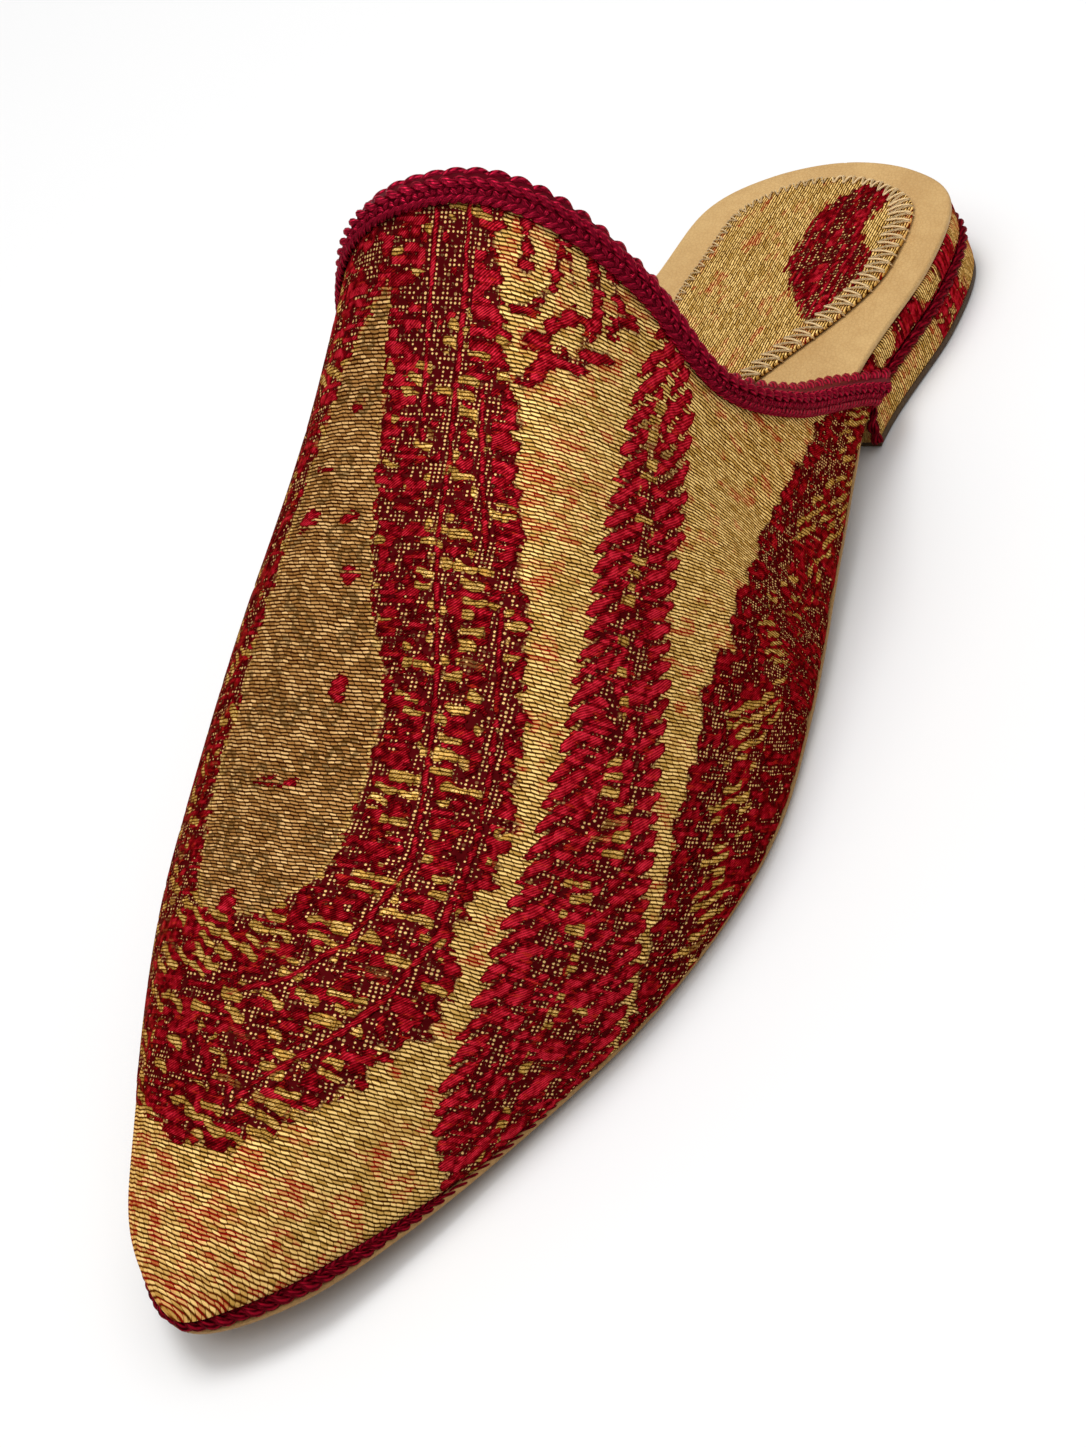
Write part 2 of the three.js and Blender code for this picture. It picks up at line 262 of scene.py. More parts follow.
def lumpField(x, y, seed):
    px, py, pick = np.random.default_rng(seed).random((3, 64, 64))
    i, j = np.floor(x).astype(int), np.floor(y).astype(int)
    best, chosen = np.full(x.shape, 9.0), np.zeros(x.shape)
    for p in (-1, 0, 1):
        for q in (-1, 0, 1):
            a, b = (i + p) % 64, (j + q) % 64
            d = np.hypot(i + p + 0.2 + 0.6 * px[a, b] - x, j + q + 0.2 + 0.6 * py[a, b] - y)
            chosen = np.where(d < best, pick[a, b], chosen)
            best = np.minimum(best, d)
    return best, chosen


# Rounder outline through given corners, with four steps between corners
def rounded(corners):
    b = np.array(corners, float)
    a, c, d = np.roll(b, 1, 0), np.roll(b, -1, 0), np.roll(b, -2, 0)
    t = (np.arange(4) / 4)[:, None, None]
    return curve(a, b, c, d, t).transpose(1, 0, 2).reshape(-1, 2)


# Signed distance to a closed outline, positive inside, and how far along it the nearest point lies
def outlineReach(outline, x, y):
    run = np.roll(outline, -1, 0) - outline
    size = np.hypot(run[:, 0], run[:, 1])
    start = np.concatenate([[0], np.cumsum(size)[:-1]])
    best, where, inside = np.full(x.shape, 1e9), np.zeros(x.shape), np.zeros(x.shape, bool)
    for (ax, ay), (rx, ry), d, s in zip(outline, run, size, start):
        dx, dy = x - ax, y - ay
        t = clamp((dx * rx + dy * ry) / d ** 2)
        near = np.hypot(dx - t * rx, dy - t * ry)
        where = np.where(near < best, s + t * d, where)
        best = np.minimum(best, near)
        inside ^= ((ay > y) != (ay + ry > y)) & (dx < rx * dy / (ry or 1e-9))
    return np.where(inside, best, -best), where


# Distance to a drawn open line
def lineReach(line, x, y):
    best = np.full(x.shape, 1e9)
    for (ax, ay), (bx, by) in zip(line[:-1], line[1:]):
        rx, ry = bx - ax, by - ay
        t = clamp(((x - ax) * rx + (y - ay) * ry) / (rx * rx + ry * ry))
        best = np.minimum(best, np.hypot(x - ax - t * rx, y - ay - t * ry))
    return best


# Oval blob at a place with half sizes and a turn in degrees: 1 in the middle, 0 on its edge
def blob(x, y, cx, cy, rx, ry, turn):
    c, s = math.cos(math.radians(turn)), math.sin(math.radians(turn))
    return 1 - np.hypot(((x - cx) * c + (y - cy) * s) / rx, ((y - cy) * c - (x - cx) * s) / ry)


# Shader value: signs between values and numbers become math nodes in the value's own tree
class Value:
    def __init__(self, socket):
        self.socket = socket

    def __add__(self, other):
        return sums("ADD", self, other)

    def __sub__(self, other):
        return sums("SUBTRACT", self, other)

    def __rsub__(self, other):
        return sums("SUBTRACT", other, self)

    def __mul__(self, other):
        return sums("MULTIPLY", self, other)

    def __truediv__(self, other):
        return sums("DIVIDE", self, other)

    def __pow__(self, other):
        return sums("POWER", self, other)

    def __abs__(self):
        return sums("ABSOLUTE", self)


# Node tools: a value given to a socket is linked, and a number or colour is set on it
def wire(socket, value):
    if isinstance(value, Value):
        socket.id_data.links.new(value.socket, socket)
    else:
        socket.default_value = value


# Node in the tree of the first value among its inputs
def newNode(kind, inputs, **settings):
    tree = next(value.socket.id_data for value in inputs.values() if isinstance(value, Value))
    node = tree.nodes.new("ShaderNode" + kind)
    for name, setting in settings.items():
        setattr(node, name, setting)
    for label, value in inputs.items():
        wire(node.inputs[label], value)
    return node


def sums(operation, *values):
    return Value(newNode("Math", dict(enumerate(values)), operation=operation).outputs[0])


def floor(value):
    return sums("FLOOR", value)


def fract(value):
    return sums("FRACT", value)


# Runs from -1 to 1 in each whole step of a value
def swing(value):
    return (fract(value) - 0.5) * 2.0


def ramp(value, low, high, start=0.0, end=1.0):
    inputs = {"Value": value, "From Min": low, "From Max": high, "To Min": start, "To Max": end}
    return Value(newNode("MapRange", inputs, interpolation_type="SMOOTHSTEP").outputs["Result"])


# The mix node's colour sockets come after those for numbers and vectors
def blendColour(share, first, second):
    return Value(newNode("Mix", {0: share, 6: first, 7: second}, data_type="RGBA").outputs[2])


def colourScale(value, stops):
    node = newNode("ValToRGB", dict(Fac=value))
    scale = node.color_ramp.elements
    for position, colour in stops[1:-1]:
        scale.new(position).color = colour
    for end in (0, -1):
        scale[end].position, scale[end].color = stops[end]
    return Value(node.outputs["Color"])


def noise(vector, scale, detail=2.0, rough=0.5):
    inputs = dict(Vector=vector, Scale=scale, Detail=detail, Roughness=rough)
    return Value(newNode("TexNoise", inputs).outputs["Fac"])


def cells(vector, scale, **settings):
    return Value(newNode("TexVoronoi", dict(Vector=vector, Scale=scale), **settings).outputs["Distance"])


def white(x, y):
    node = newNode("TexWhiteNoise", dict(Vector=joinVector(x, y)), noise_dimensions="2D")
    return Value(node.outputs["Value"])


def splitVector(vector):
    return [Value(socket) for socket in newNode("SeparateXYZ", {0: vector}).outputs]


def joinVector(x, y, z=0.0):
    return Value(newNode("CombineXYZ", {0: x, 1: y, 2: z}).outputs[0])


def attributeValue(tree, name, output="Fac"):
    node = tree.nodes.new("ShaderNodeAttribute")
    node.attribute_name = name
    return Value(node.outputs[output])


def newGroup(name, inputs, outputs):
    tree = bpy.data.node_groups.new(name, "ShaderNodeTree")
    for label, kind, value in inputs:
        socket = tree.interface.new_socket(label, in_out="INPUT", socket_type="NodeSocket" + kind)
        if value is not None:
            socket.default_value = value
    for label, kind in outputs:
        tree.interface.new_socket(label, in_out="OUTPUT", socket_type="NodeSocket" + kind)
    given = {socket.name: Value(socket) for socket in tree.nodes.new("NodeGroupInput").outputs}
    return tree, given, tree.nodes.new("NodeGroupOutput").inputs


def useGroup(group, tree, **values):
    node = tree.nodes.new("ShaderNodeGroup")
    node.node_tree = group
    for label, value in values.items():
        wire(node.inputs[label], value)
    return {socket.name: Value(socket) for socket in node.outputs}


def newMaterial(name, **settings):
    material = bpy.data.materials.new(name)
    material.use_nodes = True
    shader = material.node_tree.nodes["Principled BSDF"].inputs
    for label, value in settings.items():
        shader[label].default_value = value
    return material, material.node_tree, shader


def addBump(shader, height, depth):
    bump = newNode("Bump", dict(Height=height, Distance=depth, Strength=1.0))
    wire(shader["Normal"], Value(bump.outputs["Normal"]))


# Weave: weft rows a pitch apart, each broken into short oval stitches set like bricks. Thread is high on a
# stitch and low in the gaps round it, Pick is a number per stitch, Row is one per stretch of a row, and Gap
# tells where the gaps are wide
def weaveGroup():
    tree, given, put = newGroup(
        "weaveThreads", [("Place", "Vector", None), ("Pitch", "Float", 0.53), ("Stitch", "Float", 1.5)],
        [("Thread", "Float"), ("Pick", "Float"), ("Gap", "Float"), ("Row", "Float")])
    u, v, _ = splitVector(given["Place"])
    waver = (noise(given["Place"], 0.35, 1.0) - 0.5) * 0.5
    level = (v + waver) / given["Pitch"]
    rowIndex, across = floor(level), swing(level)
    shift = white(rowIndex, 3.0) * 0.35 + rowIndex * 0.5
    uneven = noise(joinVector(u * 0.4, rowIndex * 7.7), 1.0, 1.0)
    step = uneven * 0.9 + u / given["Stitch"] + shift - across * 0.16   # stitch ends slant
    gap = ramp(noise(joinVector(u * 0.22, rowIndex * 5.3), 1.0, 1.0), 0.46, 0.66)
    far = across * across + abs(swing(step)) ** 8.0 * 0.5
    wire(put["Thread"], ramp(far, 1.0 - gap * 0.35, 0.12))
    wire(put["Pick"], white(floor(step), rowIndex))
    wire(put["Gap"], gap)
    wire(put["Row"], white(rowIndex, floor(u * 0.2)))
    return tree


weaveThreads = weaveGroup()
# colours run from a thread's shaded gap to its lit top; pitches are in mm
brocade = dict(
    gold=[(0.0, (0.050, 0.009, 0.0005, 1)), (0.3, (0.19, 0.088, 0.011, 1)), (0.65, (0.54, 0.300, 0.062, 1)),
          (1.0, (1.0, 0.67, 0.235, 1))],
    peach=[(0.0, (0.26, 0.004, 0.003, 1)), (0.32, (0.42, 0.020, 0.010, 1)), (0.55, (0.52, 0.17, 0.042, 1)),
           (1.0, (1.0, 0.62, 0.22, 1))],
    pale=[(0.0, (0.032, 0.005, 0.0005, 1)), (0.35, (0.120, 0.045, 0.009, 1)), (0.7, (0.40, 0.190, 0.052, 1)),
          (1.0, (0.86, 0.54, 0.22, 1))],
    satin=[(0.0, (0.018, 0.0003, 0.0003, 1)), (0.35, (0.088, 0.0011, 0.0023, 1)),
           (0.7, (0.27, 0.003, 0.008, 1)), (1.0, (0.66, 0.020, 0.042, 1))],
    scarletHighlight=(0.52, 0.028, 0.010, 1), scribble=(0.075, 0.030, 0.004, 1), bead=(0.72, 0.44, 0.165, 1),
    beadGround=(0.062, 0.0020, 0.0030, 1), glint=(1.0, 0.42, 0.26, 1),
    beadPitch=(0.78, 0.58), strandPitch=0.46, barPitch=2.1, barLength=4.2)


# Brocade: gold weft ground, pale ground, beaded dark red ground, red satin floats and gold bars. Satin and
# Bars are distances in mm, positive inside the motif; Pearl and Tone are shares, Pearl above 1 brings close
# beads and Tone below 0 deepens the satin
def brocadeGroup():
    c = brocade
    tree, given, put = newGroup(
        "brocadeCloth", [("Place", "Vector", None), ("Satin", "Float", -1.0), ("Bars", "Float", -1.0),
                         ("Pearl", "Float", 0.0), ("Tone", "Float", 0.0), ("Flecks", "Float", 0.5)],
        [("Colour", "Color"), ("Height", "Float"), ("Roughness", "Float")])
    u, v, dots = splitVector(given["Place"])
    flat = joinVector(u, v)
    woven = useGroup(weaveThreads, tree, Place=flat)
    pick, body = woven["Pick"], woven["Thread"]
    streak = noise(joinVector(u * 0.32, v * 1.5), 1.0, 3.0, 0.6)
    shade = pick * 0.45 + streak * 0.75
    light = body * (shade * 0.82 + 0.37)
    gold = colourScale(light, c["gold"])
    # red weft in patches: red gaps and peach stitches
    patch = noise(joinVector(u * 0.15, v * 0.21, 4.0), 1.0, 2.0) + dots * given["Flecks"] * 0.24
    fleck = ramp(patch, 0.57, 0.64) * ramp(woven["Gap"], 0.05, 0.45, 0.12, 1.0)
    gold = blendColour(fleck, gold, colourScale(light - woven["Gap"] * 0.16, c["peach"]))
    # pale ground with thin brown florets
    blur = noise(flat, 0.8, 2.0)
    petals = cells(joinVector(u + blur * 2.5, v * 0.9), 0.17, voronoi_dimensions="2D")
    floret = ramp(abs(petals - 0.24), 0.11, 0.03) * ramp(pick + blur, 0.55, 0.9)
    thin = body * (shade * 0.82 + 0.28)
    pale = blendColour(floret * 0.7, colourScale(thin, c["pale"]), c["scribble"])
    ground = blendColour(given["Tone"], gold, pale)
    # beads: small pale points in rows on dark red, each a little off its place
    beadU, beadV = u / c["beadPitch"][0], v / c["beadPitch"][1]
    chance = white(floor(beadU), floor(beadV))
    du = fract(beadU) - (chance * 0.24 + 0.38)
    dv = fract(beadV) - (chance * -0.16 + 0.58)
    far = sums("SQRT", du * du * 1.1 + dv * dv)
    mottle = noise(flat, 0.85, 2.0)
    loose = ramp(mottle, 0.42, 0.48) * ramp(chance, 0.18, 0.32)
    close = ramp(given["Pearl"], 1.2, 1.6) * (ramp(mottle, 0.40, 0.45) * ramp(chance, 0.15, 0.28))
    bead = ramp(far * (chance * 0.5 + 0.75), 0.40, 0.25) * sums("MAXIMUM", loose, close)
    beaded = sums("MINIMUM", given["Pearl"], 1.0)
    ground = blendColour(beaded, ground, blendColour(bead, c["beadGround"], c["bead"]))
    # satin floats with fine slanting strands, their edges stepped by the stitches and frayed
    strand = swing((v + u * 0.75 + noise(flat, 0.16, 1.0) * 2.0) / c["strandPitch"])
    strand = ramp(abs(strand), 1.0, 0.2)
    fray = noise(flat, 1.5, 1.0) - 0.5
    depth = given["Satin"] + (fray * 0.8 + (pick - 0.5) * 0.4 + (woven["Row"] - 0.5) * 1.1)
    floats = ramp(depth, -0.06, 0.08)
    # satin shade: random mottle, painted shade between the strands, and painted shade at a float's edge
    # rising to a painted highlight at its middle; Tone below 0 darkens it
    satinToneAndShade = mottle * 0.9 + strand * ramp(given["Tone"], -0.15, 0.0, 0.10, 0.24)
    satinToneAndShade = satinToneAndShade + ramp(depth, 0.0, 1.0, -0.22, 0.24) + sums("MINIMUM", given["Tone"], 0.0)
    satin = colourScale(satinToneAndShade, c["satin"])
    # orange-red patches scattered at random over the satin: painted highlights
    satin = blendColour(ramp(streak, 0.58, 0.66) * 0.55, satin, c["scarletHighlight"])
    colour = blendColour(floats, ground, satin)
    # gold bars along the weft: rows of short patches of gold stitches, some left out
    slant = u * (u * 0.004 - 0.27)
    level = (v + slant) / c["barPitch"] + noise(flat, 0.3, 1.0) * 1.2
    barRow = floor(level)
    run = u / c["barLength"] + white(barRow, 7.0) * 5.0
    odds = white(barRow, floor(run))
    hump = fray * 0.6 + 1.0 - (abs(swing(level)) ** 3.0 * 4.4 + abs(swing(run)) ** 8.0)
    within = ramp(given["Bars"] + (odds - 0.5) * 1.4, -0.1, 0.3)
    bar = within * ramp(hump, 0.0, 0.12) * ramp(odds, 0.45, 0.50)
    # bar stitches lighter where the bar swells and darker at its edges and ends: painted highlight and shade,
    # with random mottle
    barLight = light * ramp(hump + mottle, 0.4, 1.5, 0.44, 0.86)
    colour = blendColour(bar, colour, colourScale(barLight, c["gold"]))
    wire(put["Colour"], colour)
    low = body * (1.0 - beaded) + bead * beaded
    high = strand * 0.45 + ramp(depth, 0.0, 1.0, 0.2, 0.7) + mottle * 0.8
    height = low * (1.0 - floats) + high * floats
    wire(put["Height"], height + bar * 0.3)
    wire(put["Roughness"], ramp(floats * (1.0 - bar), 0.0, 1.0, 0.50, 0.38))
    return tree


brocadeCloth = brocadeGroup()


def brocadeMaterial(name, flecks):
    glints = {"Specular IOR Level": 0.0, "Metallic": 0.3, "Specular Tint": brocade["glint"]}
    material, tree, shader = newMaterial(name, **glints)
    satin, bars, pearl = splitVector(attributeValue(tree, "motif", "Vector"))
    cloth = useGroup(brocadeCloth, tree, Place=attributeValue(tree, "cloth", "Vector"), Satin=satin,
                     Bars=bars, Pearl=pearl, Tone=attributeValue(tree, "tone"), Flecks=flecks)
    wire(shader["Base Color"], cloth["Colour"])
    wire(shader["Roughness"], cloth["Roughness"])
    addBump(shader, cloth["Height"], 0.00038)
    return material


# Yarn: fine fibres winding along a cord, from the cord's own length and turn, with painted shade between the
# fibres and painted highlight on them; Place's third value darkens it as painted shade
def yarnGroup():
    tree, given, put = newGroup(
        "yarnFibres", [("Place", "Vector", None), ("Light", "Color", (1, 1, 1, 1)),
                       ("Dark", "Color", (0, 0, 0, 1))],
        [("Colour", "Color"), ("Height", "Float")])
    length, turn, deep = splitVector(given["Place"])
    wind = turn * 5.0 + length * 0.9
    fibre = abs(fract(wind) - 0.5)
    fuzz = noise(joinVector(length * 1.2, wind * 1.5), 1.0, 3.0)
    # low between the fibres and high on them: painted shade and highlight; deep pulls it toward Dark as
    # painted shade
    share = ramp(fibre * 0.9 + fuzz * 0.6, 0.2, 0.9) * (deep * -0.85 + 1.0)
    wire(put["Colour"], blendColour(share, given["Dark"], given["Light"]))
    wire(put["Height"], fibre * 1.4 + fuzz * 0.4)
    return tree


yarnFibres = yarnGroup()


def yarnMaterial(name, light, dark, rough, glint, metal=0.4):
    glints = {"Roughness": rough, "Specular IOR Level": 0.04, "Metallic": metal, "Specular Tint": glint}
    material, tree, shader = newMaterial(name, **glints)
    yarn = useGroup(yarnFibres, tree, Place=attributeValue(tree, "yarn", "Vector"), Light=light, Dark=dark)
    wire(shader["Base Color"], yarn["Colour"])
    addBump(shader, yarn["Height"], 0.00012)
    return material


# Leather: fine pores and soft cloudy colour, from the object's own coordinates
def leatherGroup():
    tree, given, put = newGroup(
        "leatherGrain", [("Light", "Color", (1, 1, 1, 1)), ("Dark", "Color", (0, 0, 0, 1)),
                         ("Pores", "Float", 1100.0)],
        [("Colour", "Color"), ("Height", "Float"), ("Roughness", "Float")])
    spot = Value(tree.nodes.new("ShaderNodeTexCoord").outputs["Object"])
    cloud, speck = noise(spot, 55.0, 4.0), noise(spot, 420.0, 3.0)
    grain = ramp(cells(spot, given["Pores"], feature="DISTANCE_TO_EDGE"), 0.0, 0.18)
    shade = cloud * 0.7 + speck * 0.35 + grain * 0.12
    wire(put["Colour"], blendColour(ramp(shade, 0.3, 0.9), given["Dark"], given["Light"]))
    wire(put["Height"], grain + speck * 0.6)
    wire(put["Roughness"], ramp(cloud, 0.3, 0.7, 0.48, 0.62))
    return tree


leatherGrain = leatherGroup()


def leatherMaterial(name, light, dark, pores, depth):
    material, tree, shader = newMaterial(name, **{"Specular IOR Level": 0.22})
    hide = useGroup(leatherGrain, tree, Light=light, Dark=dark, Pores=pores)
    wire(shader["Base Color"], hide["Colour"])
    wire(shader["Roughness"], hide["Roughness"])
    addBump(shader, hide["Height"], depth)
    return material


vampCloth = brocadeMaterial("vampBrocade", 0.75)
wrapCloth = brocadeMaterial("wrapBrocade", 0.9)
sockCloth = brocadeMaterial("sockBrocade", 0.3)
crimsonGlint = (1, 0.24, 0.32, 1)
crimsonYarn = yarnMaterial("crimsonYarn", (0.54, 0.011, 0.046, 1), (0.022, 0.0003, 0.001, 1),
                           0.28, crimsonGlint)
darkYarn = yarnMaterial("darkCrimsonYarn", (0.28, 0.004, 0.016, 1), (0.014, 0.0002, 0.0007, 1),
                        0.38, crimsonGlint)
creamThread = yarnMaterial("creamThread", (0.98, 0.76, 0.45, 1), (0.70, 0.46, 0.21, 1),
                           0.5, (1, 0.9, 0.7, 1), 0.0)
tanLeather = leatherMaterial("insoleLeather", (0.57, 0.368, 0.150, 1), (0.43, 0.250, 0.090, 1),
                             1300.0, 0.00004)
soleLeather = leatherMaterial("soleLeather", (0.36, 0.200, 0.066, 1), (0.24, 0.125, 0.036, 1),
                              700.0, 0.00007)
# dark lift leather, its darkness partly standing for the contact shadow along the heel's bottom
liftLeatherAndContactShade = leatherMaterial("liftLeatherAndContactShade", (0.095, 0.052, 0.020, 1), (0.042, 0.021, 0.009, 1),
                              800.0, 0.00006)
liningLeather = leatherMaterial("liningLeather", (0.40, 0.26, 0.12, 1), (0.31, 0.19, 0.085, 1),
                                1000.0, 0.00005)
print("materials ready")

# Motifs of the vamp cloth, charted as place across in mm from the crest, lateral positive, then station
vampMotifs = dict(
    teardrop=[(-6, 115), (-9, 119), (-12.5, 124), (-15, 129), (-16.5, 134), (-18, 140),
              (-19.3, 147), (-20, 155), (-20.6, 163), (-21, 172), (-21, 180), (-20, 188),
              (-18, 195), (-15.5, 201), (-12, 205), (-8, 206), (-3, 206), (1, 205.5), (4, 203),
              (7, 200.5), (8.8, 196), (9.2, 190), (9.3, 183), (9, 176), (8, 170), (5, 165),
              (3, 162), (1.3, 157), (0, 152), (-1, 147), (-2.2, 142), (-3.2, 136), (-3.8, 130),
              (-4.5, 124), (-5, 118)],
    paisley=[(14, 92), (13.5, 107), (14, 112), (16, 118), (17, 123), (18.5, 127.5), (19.8, 132),
             (20.7, 137), (22.3, 142), (24, 147), (26, 152), (27.8, 158), (30, 164), (31.3, 170),
             (32.3, 176), (33.8, 182), (34, 187), (32.5, 193), (31, 198), (31, 203), (33, 207),
             (31.5, 212), (29, 217), (24.5, 222), (20.5, 227), (16.5, 231.5), (12, 235.5), (6, 238.5),
             (-1, 238.8), (-7, 236), (-14, 232.5), (-21, 228.5), (-29, 222), (-37, 210), (-43, 196),
             (-45, 182), (-43, 166), (-38.5, 150), (-34, 135), (-30, 121), (-28, 107), (-28, 92)],
    # thin red lines edged with beads, strips of beads, and ladders of gold bars with their half width
    tracks=[[(2.6, 106), (3, 120), (3.9, 130), (5, 136.5)],
            [(8.4, 106), (9, 120), (9.5, 130), (10.4, 140), (11.2, 150), (13, 157), (15, 163.5), (17, 170),
             (18.8, 180), (20.4, 190), (21, 195), (19.3, 200), (16, 208), (9, 214.5), (0, 218), (-9, 217)],
            [(-1, 150), (0.9, 157), (4.2, 164.5)], [(14, 129), (15.2, 136), (17, 143), (19.6, 151)],
            [(24, 158), (26.4, 168), (28.6, 180), (29.3, 190), (28.4, 202), (24.5, 212), (18, 220.5),
             (9, 229), (6, 233)]],
    beaded=[[(5.8, 106), (6.4, 122), (7.2, 136)], [(8, 176), (8.8, 190)]],
    ladders=[([(12.3, 132), (13, 142), (14.4, 150)], 2.4),
             ([(19.5, 156), (21.5, 166), (22.4, 176), (24.4, 185), (25.2, 195), (22.6, 203), (19, 209),
               (13.5, 215), (6, 219.5), (-4, 221), (-12, 218)], 2.0),
             ([(4, 226), (9, 223.5)], 1.6), ([(-13, 207), (-6, 214)], 1.2)],
    # leaves: place, half sizes, turn
    leaves=[(-15, 147.5, 2.1, 1.5, 10), (-6, 148, 1.6, 0.8, -15), (-3.5, 156.5, 1.5, 1.3, 0),
            (0.3, 172.3, 1.7, 1.9, 20), (-8.5, 185.5, 1.7, 0.5, 5), (-4, 186, 1.2, 0.6, 0),
            (-13, 140, 1.6, 0.6, 12), (-9, 132, 1.2, 0.6, 0), (6.6, 163.3, 2.6, 1.9, 25),
            (-7.3, 204.8, 1.9, 1.9, 0), (-4.9, 207.2, 1.7, 1.0, 20), (-3.2, 211, 3.2, 1.6, -25),
            (-9.3, 209, 2.6, 1.7, 15), (-1.8, 216.6, 2.4, 1.2, 0), (-6, 221.3, 2.0, 2.4, 30),
            (3.4, 206, 1.4, 2.2, 30), (6.8, 211.5, 2.0, 1.4, -30), (10.5, 206, 1.2, 2.6, 35),
            (13, 203.3, 2.2, 1.4, 30), (0, 231.9, 2.7, 1.4, 0), (11.8, 230, 1.9, 1.7, 0),
            (17, 226.3, 1.9, 1.5, 30), (22, 221.6, 2.4, 1.3, -15), (27, 212.6, 2.4, 1.6, 10),
            (-2, 237.2, 2.6, 1.2, 8), (5.5, 238.2, 2.4, 0.9, 5), (-9.5, 233.6, 3.4, 1.1, 22)],
    # sprigs on the gold near the collar: lines and their half width
    sprigs=[([(17.8, 105), (18.4, 111.8)], 0.9), ([(24.2, 105), (23.2, 112.5)], 0.8),
            ([(17.3, 117.3), (19.5, 116.6), (21.8, 114.6)], 0.9),
            ([(19.8, 120.6), (22.5, 119.8), (24.2, 117)], 1.1),
            ([(20.2, 125.9), (22.4, 124.2), (23, 122), (25.3, 121.2)], 0.8),
            ([(25.8, 120.6), (28.3, 121), (29.6, 118.6), (33.4, 116.8)], 1.1),
            ([(25.6, 115.2), (28.6, 114.2), (31, 114.8)], 1.0),
            ([(29.6, 106), (31.4, 110.4), (31.2, 114)], 1.2),
            ([(33.6, 113), (36, 110.6), (38.4, 109.6)], 1.0), ([(25.4, 107.6), (26.6, 110.4)], 0.6),
            ([(33, 105.5), (35.2, 108.2)], 0.9), ([(28, 118), (30.5, 116.2)], 0.6)],
    # rope of slanting floats: station, left side, right side
    rope=[(100, 46, 51), (108, 43, 51), (112, 41.5, 52), (117, 40, 51.5), (122, 38.7, 50.8),
          (127, 38, 51), (133, 37.5, 51), (138, 37, 50.3), (144, 36.5, 50.5), (150, 37, 51.7),
          (156, 37.5, 53), (162, 38, 54), (168, 38, 55.2), (175, 38, 57.2), (181, 37.7, 59.2),
          (187, 37.3, 61.3), (193, 37.2, 63), (199, 37, 64.5), (205, 36.8, 66), (212, 36.5, 66),
          (218, 36.2, 66), (223, 37.5, 60), (226, 43, 48), (228, 45, 45)],
    # gold bars on the rope and their half width
    ropeBars=[([(48.3, 172), (49, 181)], 2.6), ([(45, 187), (47, 191)], 1.6), ([(52, 196), (55, 199)], 1.3),
              ([(43.4, 124), (42.6, 136)], 0.9)],
    # dark red side field: station, left side
    side=[(80, 94), (88, 90.5), (95, 87.5), (100, 84), (104, 81), (108, 78.7), (113, 75.5),
          (117, 72), (121, 70.5), (125, 68.3), (128, 66.7), (132, 65), (136, 65), (138, 66.5),
          (141, 62.3), (145, 61), (148, 60), (152, 61), (158, 61.3), (163, 60.5), (168, 60.5),
          (173, 61), (180, 62), (186, 62.8), (191, 64.3), (196, 66), (200, 68)])


# Lumps of satin, in mm inside: those picked reach a size, the rest stay out
def lumpy(lumps, picked, size, steep):
    return steep * (np.where(picked, size, -0.2) - lumps)


# Rope of slanting floats, two columns above and steeper broken floats below: distance inside its toothed
# edge, its satin, and gold bars along the vein between the columns
def ropeChart(w, station, jag):
    table = np.array(vampMotifs["rope"])
    left, right = (np.interp(station, table[:, 0], table[:, k]) for k in (1, 2))
    inward = np.minimum(np.minimum(w - left, right - w), np.minimum(station - 95, 228 - station))
    ripple = softNoise(w / 5, station / 6, 9)
    tooth = np.abs(np.abs((station + 1.2 * (w - 44)) / 3.4 + 0.35 * ripple) % 1 - 0.5) * 2
    edge = inward + 0.8 - 2.0 * tooth ** 2 + 0.3 * jag
    vein = np.abs(w - mix(left, right, 0.44) + 0.8 * np.sin(station / 4.6))
    above = np.minimum(1.6 * (0.80 - tooth), np.where(station > 112, 1.6 * (vein - 0.55), 1))
    steep = np.abs(((w + 0.55 * station) / 2.7 + 0.9 * ripple) % 1 - 0.5) * 2
    clumps, clumpPick = lumpField((w + 0.5 * station) / 2.4, (station - 0.6 * w) / 3.2, 12)
    below = np.where(clumpPick > 0.22, np.minimum(1.3 * (0.86 - steep), 2.2 * (0.78 - clumps)), -0.5)
    share = smooth((station - 138) / 16) * smooth((inward - 3.2) / 2)
    bars = np.where(station > 110, np.minimum(0.7 - vein, inward), -9)
    return edge, np.minimum(mix(above, below, share), edge), bars


# Dark red side field, with a solid edge, a beaded line, then gold bars between lumps: distance inside its
# wavy edge, its satin and its bars
def sideChart(w, station, row, jag, spots, spotPick):
    table = np.array(vampMotifs["side"])
    wave = 0.8 * jag + 0.6 * np.cos(2 * np.pi * station / 6.5)
    inward = np.minimum(w - np.interp(station, table[:, 0], table[:, 1]) + wave, 203 - station)
    lumps, pick = lumpField((w + 0.7 * row) / 3.0, (row - 0.3 * w) / 1.9, 15)
    points, pointPick = lumpField(w / 1.7, row / 1.7, 18)
    solid = np.maximum(lumpy(lumps, pick > 0.16, 0.80, 2.0), 1.1 - np.abs(inward - 1.2))
    solid = np.where(pointPick > 0.35, np.minimum(solid, 3.0 * (points - 0.30)), solid)
    veins = np.abs(softNoise(w / 2.4, row / 2, 16) - 0.5)
    loose = np.maximum(lumpy(lumps, pick > 0.36, 0.66, 2.0), 0.36 - 6 * veins)
    satin = np.where(inward < 5, solid, loose)
    line = np.abs(inward - 6.2)
    satin = np.where(line < 1.2, 0.4 - line, satin)
    bars = 3.4 * (0.56 - spots) + 2.0 * (spotPick > 0.35) - 0.8
    bars = np.minimum(np.minimum(inward - 7.2, 17 - inward), bars) - 0.8 * smooth((station - 160) / 12)
    return inward, np.minimum(satin, inward), bars


